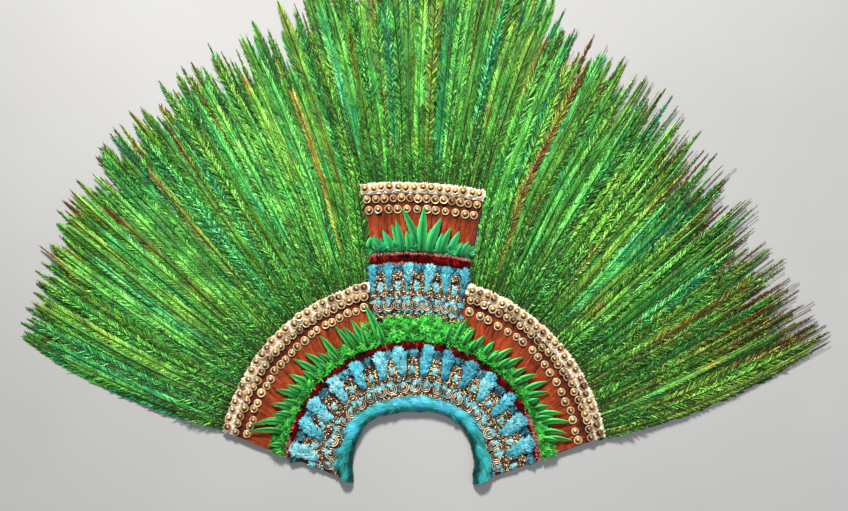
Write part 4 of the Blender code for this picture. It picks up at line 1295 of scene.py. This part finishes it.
def make_blue_bands():
    """A dark ground with tall turquoise tufts, darker patches between them, and ragged pale rows below."""
    barbs = barb_material("turquoise_barbs", BLUE, 0.6, 0.16, 120.0)
    ground = barb_material("dark_ground", DARK_GROUND, 0.8, 0.5, 160.0)

    def tone(u, v):
        return stacked(0.35 + 0.35 * value_noise(v * 0.9 + 1, u * 0.1 + 1, 140, 0.007), 0.9, v)

    for side, node, place, across, floor, top, columns in (
        ("arch", "blue_band_arch", on_arch, (BAND_START, BLUE_OUTER), ARCH_FLOOR, ARCH_GROUND, 151),
        ("column", "blue_block_column", on_column, (0.0, BLOCK_TOP), BAND_FLOOR, BLOCK_GROUND, 51),
    ):
        heap = Heap()
        add_skin(heap, place, *across, floor, flat_crown(top), columns, 16, tone, 0.0006, 0.0, 141)
        heap.build(f"dark_ground_{side}", ground, "blue_feather", node)
    rng = np.random.default_rng(130)
    heap, floor = Heap(), ARCH_GROUND
    small = {"blade": 0.005, "narrow": 0.85}
    lump = {"blade": 0.008, "bright": 0.8, "torn": 0.02, "motley": 0.2}
    for share in (*between(ARCH_TONGUES), 0.006, 0.99):
        hue = rng.uniform(0.3, 0.55)
        add_tuft(heap, rng, on_arch, share, (0.243, 0.266), 0.012, (floor, 0.0145), 240, hue, **lump)
        add_tuft(heap, rng, on_arch, share, (0.21, 0.227), 0.005, (floor, 0.015), 60, 0.88, **small)
    for share, (_, wide, hue) in zip(ARCH_TONGUES, ARCH_TUFTS):
        ends = (0.206, rng.uniform(0.266, 0.272))
        add_tuft(heap, rng, on_arch, share, ends, wide * 1.05, (floor, 0.0205), 860, hue)
    add_down_row(heap, rng, on_arch, 0.186, 0.2, floor, 2500, 0.68)
    add_down_row(heap, rng, on_arch, 0.17, 0.178, floor, 500, 0.45)
    for share in ARCH_CRESCENTS:
        add_tuft(heap, rng, on_arch, share, (0.179, 0.193), 0.0034, (floor, 0.013), 26, 0.92, **small)
    heap.build("turquoise_tufts_arch", barbs, "blue_feather")
    heap, floor = Heap(), BLOCK_GROUND
    lump = {"blade": 0.008, "bright": 0.82, "torn": 0.1, "motley": 0.18}
    for share in (*between(COLUMN_TONGUES), *COLUMN_TONGUES):
        hue = rng.uniform(0.3, 0.55)
        add_tuft(heap, rng, on_column, share, (0.096, 0.117), 0.011, (floor, 0.016), 190, hue, **lump)
    for share in between(COLUMN_TONGUES):
        add_tuft(heap, rng, on_column, share, (0.056, 0.078), 0.0054, (floor, 0.017), 70, 0.92, 0.006, 0.85)
    for share, (_, wide, hue) in zip(COLUMN_TONGUES, COLUMN_TUFTS):
        ends, levels = (0.054, rng.uniform(0.114, 0.12)), (floor, 0.0205)
        add_tuft(heap, rng, on_column, share, ends, wide, levels, 380, hue, 0.0095, 0.3, 0.95, -0.35)
    add_down_row(heap, rng, on_column, 0.033, 0.0475, floor, 1050, 0.72)
    add_down_row(heap, rng, on_column, 0.01, 0.021, floor, 650, 0.68)
    for share in COLUMN_CRESCENTS:
        add_tuft(heap, rng, on_column, share, (0.024, 0.038), 0.0034, (floor, 0.0155), 26, 0.92, **small)
    heap.build("turquoise_tufts_column", barbs, "blue_feather")


def lump_shade(rng, count):
    """Most lumps are dull, and a few are painted bright, as highlights."""
    return 0.16 + 2.0 * rng.uniform(0, 1, count) ** 2.1


def add_bead_line(heap, rng, place, level, low, high, pitch):
    """Rows of small beaten lumps between low and high, none of them quite alike."""
    rows = max(2, round((high - low) / BEAD_ROW))
    for distance in np.linspace(low + 0.0016, high - 0.0016, rows):
        size = np.linalg.norm(place(distance, 0.51) - place(distance, 0.5)) * 100
        count = int(size / pitch)
        share = (np.arange(count) + rng.uniform(0.1, 0.9, count)) / count
        flat, right, outwards = frame_at(place, np.full(count, distance), share)
        flat = flat + outwards * rng.normal(0, 0.0006, count)[:, None]
        tone = stacked(0, lump_shade(rng, count), rng.uniform(0, 0.85, count))
        wide = pitch * rng.uniform(0.75, 1.35, count)
        tall = rng.uniform(0.0016, 0.0036, count)
        add_beads(heap, (flat, right, outwards), level, wide, rng.uniform(0.0026, 0.0044, count), tall, tone)


def add_gold_frame(heap, rng, place, level, share, start, end, half_width):
    """A stepped arch of stacked gold bars, open inwards. Every bar is a row of uneven beaten lumps."""
    bars = []  # how far along and aside each lump lies, its width across and its length along
    for sign in (-1, 1):
        for inset, wide, pitch in ((0.0024, 0.0058, 0.003), (0.0062, 0.004, 0.0036)):
            for along in np.arange(start + 0.0015, end - 0.015, pitch):
                bars.append((along, sign * (half_width - inset), wide, 0.0036))
    for back, reach in ((0.0135, 1.05), (0.0095, 0.98), (0.0055, 0.84), (0.0015, 0.58)):
        count = max(2, round(2 * reach * half_width / LUMP_APART))
        for i in range(count):
            aside = (2 * i / (count - 1) - 1) * (reach * half_width - 0.0022)
            bars.append((end - back, aside, 0.0052, 0.004))
    count = len(bars)
    along, aside, wide, deep = np.array(bars).T
    flat, right, outwards = frame_at(place, along + rng.normal(0, 0.0005, count), np.full(count, share))
    flat = flat + right * (aside + rng.normal(0, 0.001, count))[:, None]
    bright = rng.uniform(0.8, 1.2) * lump_shade(rng, count)
    tone = stacked(0, bright, rng.uniform(0, 0.85, count))
    wide, deep = wide * rng.uniform(0.75, 1.3, count), deep * rng.uniform(0.75, 1.25, count)
    add_beads(heap, (flat, right, outwards), level, wide, deep, rng.uniform(0.003, 0.0062, count), tone)


CRESCENT = (  # distance from the middle as a share of the radius, height in metres, tone
    (1.12, 0.0002, 0.4), (1.12, 0.0022, 0.95), (1.04, 0.003, 1.0), (0.95, 0.0022, 0.92),
    (0.9, 0.0006, 0.06), (0.73, 0.0003, 0.12), (0.67, 0.002, 0.8), (0.58, 0.0022, 0.92),
    (0.51, 0.0003, 0.15),
)


def add_crescent(heap, rng, place, distance, share, level, radius, cell):
    """A half-moon of beaten gold, open outwards: a pale rim round a darker dish and a smaller rim."""
    centre, right, outwards = frame_at(place, distance + rng.normal(0, 0.0008), share)
    radius = radius * rng.uniform(0.88, 1.1)
    stations = 21
    turn = np.radians(np.linspace(62, -242, stations) + rng.normal(0, 16))[:, None]
    swell = np.sin(np.linspace(0.15, math.pi - 0.15, stations))[:, None]
    slope = rng.normal(0, 0.06, 2)
    out, high, tones = np.array(CRESCENT).T
    stretch = mix(0.8, 1.0, swell)  # the horns are thinner than the middle
    out = np.where(out > 0.6, 1.0 - (1.0 - out) * stretch, out)
    x, y = np.cos(turn) * radius * out, np.sin(turn) * radius * out
    flat = centre + x[..., None] * right + y[..., None] * outwards
    lift = level + 0.0008 + high + slope[0] * x + slope[1] * y
    # painted highlight and shade: the brightness rises and falls round each crescent
    shine = rng.uniform(0.64, 1.1) * (1 + 0.5 * np.sin(turn + rng.uniform(0, 6)))
    chart = chart_cell(*cell, *grid(stations, len(CRESCENT)))
    heap.add_grid(raised(flat, lift), stacked(tones, shine, rng.uniform(0, 0.85)), 0.0, chart, flip=False)


def make_gold_work():
    """Bead lines, stepped frames and crescents, on the arch and on the column."""
    gold = gold_material("beaten_gold", GOLD, (0.6, 0.38, 0.3, 1), 0.9)
    rng = np.random.default_rng(160)
    sides = (  # side, place, level, the upper bead line, the frames' middles and sizes, the lower bead line
        ("arch", on_arch, ARCH_GROUND + 0.0001, (0.197, 0.2085, 0.0036),
         (*between(ARCH_TONGUES), 0.978), (0.2065, 0.245, 0.0124), (0.16, 0.17, 0.004)),
        ("column", on_column, BLOCK_GROUND + 0.0001, (0.046, 0.0565, 0.0038),
         between(COLUMN_TONGUES), (0.056, 0.1, 0.0155), (0.0, 0.01, 0.004)),
    )
    for side, place, level, upper, middles, size, lower in sides:
        heap = Heap()
        add_bead_line(heap, rng, place, level, *upper)
        for share in middles:
            add_gold_frame(heap, rng, place, level, share, *size)
        if side == "arch":
            for i, share in enumerate(ARCH_CRESCENTS):
                share, cell = share + rng.normal(0, 0.003), (i, len(ARCH_CRESCENTS))
                add_crescent(heap, rng, place, 0.1825, share, level, 0.0105, cell)
        heap.build(f"gold_ornaments_{side}", gold, "gold", f"gold_work_{side}")
        heap = Heap()
        add_bead_line(heap, rng, place, level, *lower)
        heap.build(f"gold_beads_{side}", gold, "gold", f"gold_line_{side}")
    heap, count = Heap(), len(COLUMN_CRESCENTS)
    for i, share in enumerate(COLUMN_CRESCENTS):
        add_crescent(heap, rng, on_column, 0.027, share, level + 0.0015, 0.0104, (i, count))
    nodes = [f"crescent_column_{i + 1}" for i in range(count)]
    heap.build("gold_crescents_column", gold, "gold", *nodes)


ROLL_EDGES = (  # angle, how far the inner edge strays from the notch's circle, and the outer edge
    (-12.0, -0.002, 0.0), (4.0, -0.006, 0.0), (22.0, -0.001, 0.001), (50.0, 0.007, 0.005),
    (72.0, -0.003, 0.002), (90.0, -0.009, -0.001), (108.0, -0.004, 0.0), (128.0, 0.006, 0.004),
    (158.0, -0.003, 0.001), (176.0, -0.007, 0.0), (192.0, -0.002, 0.0),
)
ROLL_WHORL = 0.61  # the share where the locks part, to sweep down to both ends
ROLL_TOP = 0.0215
ROLL_FLOORS = (ON_FLOOR, 0.0098)  # on the floor at the notch, and on the gold line at the other edge


def make_notch_roll():
    """The roll round the head notch: fine soft barbs in locks that sweep down to both of its ends."""
    inner, outer = NOTCH_RADIUS + 0.0015, ROLL_OUTER + 0.0045

    def on_roll(u, share):
        turns, inside, outside = np.array(ROLL_EDGES).T
        degrees = mix(*arch_edges(ROLL_OUTER), share)
        ripple = 0.0016 * value_noise(share * 2.0 + 1, u * 0 + 1, 182, 0.045)
        low = inner + np.interp(degrees, turns, inside) + ripple
        high = outer + np.interp(degrees, turns, outside) + ripple
        return on_arch(mix(low, high, u), share)

    def crown(u):
        base = mix(*ROLL_FLOORS, u)
        return base + (ROLL_TOP - base) * np.clip(1 - np.abs(2 * u - 1) ** 2.4, 0, 1) ** 0.7

    def under(u):
        return crown(0.08 + 0.84 * u) - 0.0028

    def tone(u, v):
        return stacked(0.18, 0.38, v)

    heap = Heap()
    add_skin(heap, on_roll, 0.08, 0.92, ON_FLOOR, under, 161, 12, tone, 0.001, 0.0, 181)
    count = 8600
    rng = np.random.default_rng(180)
    share, u = rng.uniform(0.004, 0.996, count), rng.uniform(0, 1, count)
    flat = on_roll(u, share)
    outwards = unit(on_roll(u + 0.05, share) - flat)
    heading = np.where(share + rng.uniform(-0.05, 0.05, count) < ROLL_WHORL, -1.0, 1.0)
    lock = value_noise(share * 5 + u * 0.35 + 1, u * 0.25 + 1, 184, 0.12)
    swing = 0.55 * lock + 0.22 * value_noise(share * 9 + 1, u + 1, 185, 0.1)
    swing = swing - 0.5 * (u - 0.5) + rng.normal(0, 0.09, count)
    way = turned(rightward(outwards) * heading[:, None], outwards, swing)
    length = rng.uniform(0.014, 0.028, count) * np.where(np.abs(u - 0.5) > 0.4, 0.7, 1.0)
    length = np.minimum(length, 0.003 + 0.46 * np.minimum(share, 1 - share))
    slope = (crown(np.clip(u + 0.03, 0, 1)) - crown(np.clip(u - 0.03, 0, 1))) / (0.06 * (outer - inner))
    slope = np.clip(slope, -1.2, 1.2)
    direction = unit(raised(way, np.minimum(slope * np.sin(swing), 0.12)))
    aside = rightward(way)
    side = unit(raised(aside, slope * (aside * outwards).sum(1)))
    fall = raised(-outwards * (length**2 / 0.3)[:, None], -0.06 * length)
    patch = value_noise(share * 3.2 + u * 0.02 + 1, u * 0.02 + 1, 186, 0.1)
    off_top = np.abs(share - 0.52)
    hue = 0.44 + 0.16 * patch + 0.18 * np.exp(-((off_top / 0.2) ** 2)) - 0.1 * smooth_step(off_top, 0.3, 0.5)
    hue = np.clip(hue + 0.14 * lock + rng.normal(0, 0.09, count), 0, 1)
    strand = value_noise(share * 30 + 1, u * 3 + 1, 187, 0.3)
    shade = np.clip(1.08 + 0.55 * lock + 0.4 * strand + rng.normal(0, 0.16, count), 0.15, 1.9)
    # painted shade: the locks are darker down both sides of the roll than on its crest
    shade = shade * (0.66 + 0.42 * np.clip(1 - np.abs(2 * u - 1) ** 2, 0, 1))
    tones = stacked(hue, shade, rng.uniform(0, 1, count))
    width = rng.uniform(0.0011, 0.0019, count)
    root = raised(flat, crown(u) - 0.0006 + 0.0014 * lock)
    blades(heap, root, direction, side, length, width, fall, tones, blade_charts(count), LONG_BLADE, 0.45)
    strands = barb_material("roll_strands", ROLL, 0.5, 0.34, 40.0)
    heap.build("roll_strands", strands, "blue_feather", "blue_notch_roll")


# The floor, the light and the camera. Places count from the notch's middle.

FLOOR_HALF = 7.0
FLOOR_LEVEL = -0.0002  # just below everything
LIGHT_TARGET = (0.0, 0.45, 0.0)
CAMERA_TARGET = (0.0239, 0.4657)
CAMERA_HEIGHT = 3.0
VIEW_WIDTH = 1.841
SENSOR_WIDTH = 36.0  # millimetres


def make_floor():
    g = Graph("pale_floor")
    cloudy = g.ramp(g.noise(1.4, 3.0), ((0.3, (0.5, 0.5, 0.49)), (0.7, (0.56, 0.56, 0.55))))
    g.bump(g.noise(220.0, 3.0), 0.0004, 0.25)
    mesh = bpy.data.meshes.new("floor")
    corners = NOTCH_MIDDLE + FLOOR_HALF * np.array([(-1, -1), (1, -1), (1, 1), (-1, 1)])
    mesh.from_pydata([(*corner, FLOOR_LEVEL) for corner in corners], [], [(0, 1, 2, 3)])
    mesh.materials.append(g.finish(cloudy, 0.75))
    floor = bpy.data.objects.new("floor", mesh)
    bpy.context.scene.collection.objects.link(floor)


def add_area(name, place, size, watts, colour, spread):
    light = bpy.data.lights.new(name, "AREA")
    light.shape = "DISK"
    light.spread = math.radians(spread)
    light.size, light.energy, light.color = size, watts, colour
    lamp = bpy.data.objects.new(name, light)
    bpy.context.scene.collection.objects.link(lamp)
    lamp.location = (*(NOTCH_MIDDLE + place[:2]), place[2])
    lamp.rotation_mode = "QUATERNION"
    lamp.rotation_quaternion = Vector(np.subtract(LIGHT_TARGET, place)).to_track_quat("-Z", "Y")


def make_stage():
    make_floor()
    add_area("key_light", (-0.55, 3.95, 2.8), 0.8, 90, (1.0, 0.97, 0.93), 100)
    add_area("fill_light", (1.8, -1.2, 2.4), 2.2, 18, (0.92, 0.96, 1.0), 180)
    world = bpy.data.worlds.new("studio")
    world.use_nodes = True
    background = world.node_tree.nodes["Background"]
    background.inputs["Color"].default_value = (0.8, 0.84, 0.9, 1)
    background.inputs["Strength"].default_value = 0.3
    scene = bpy.context.scene
    scene.world = world
    scene.view_settings.view_transform = "Standard"
    camera = bpy.data.cameras.new("camera")
    camera.sensor_width = SENSOR_WIDTH
    camera.lens = SENSOR_WIDTH * CAMERA_HEIGHT / VIEW_WIDTH
    camera.clip_start, camera.clip_end = 0.1, 50
    eye = bpy.data.objects.new("camera", camera)
    scene.collection.objects.link(eye)
    eye.location = (*(NOTCH_MIDDLE + CAMERA_TARGET), CAMERA_HEIGHT)
    scene.camera = eye


make_stage()
make_plumes()
make_ground_cloth()
make_brown_bands()
make_white_borders()
make_discs()
make_garlands()
make_red_bands()
make_blue_bands()
make_gold_work()
make_notch_roll()
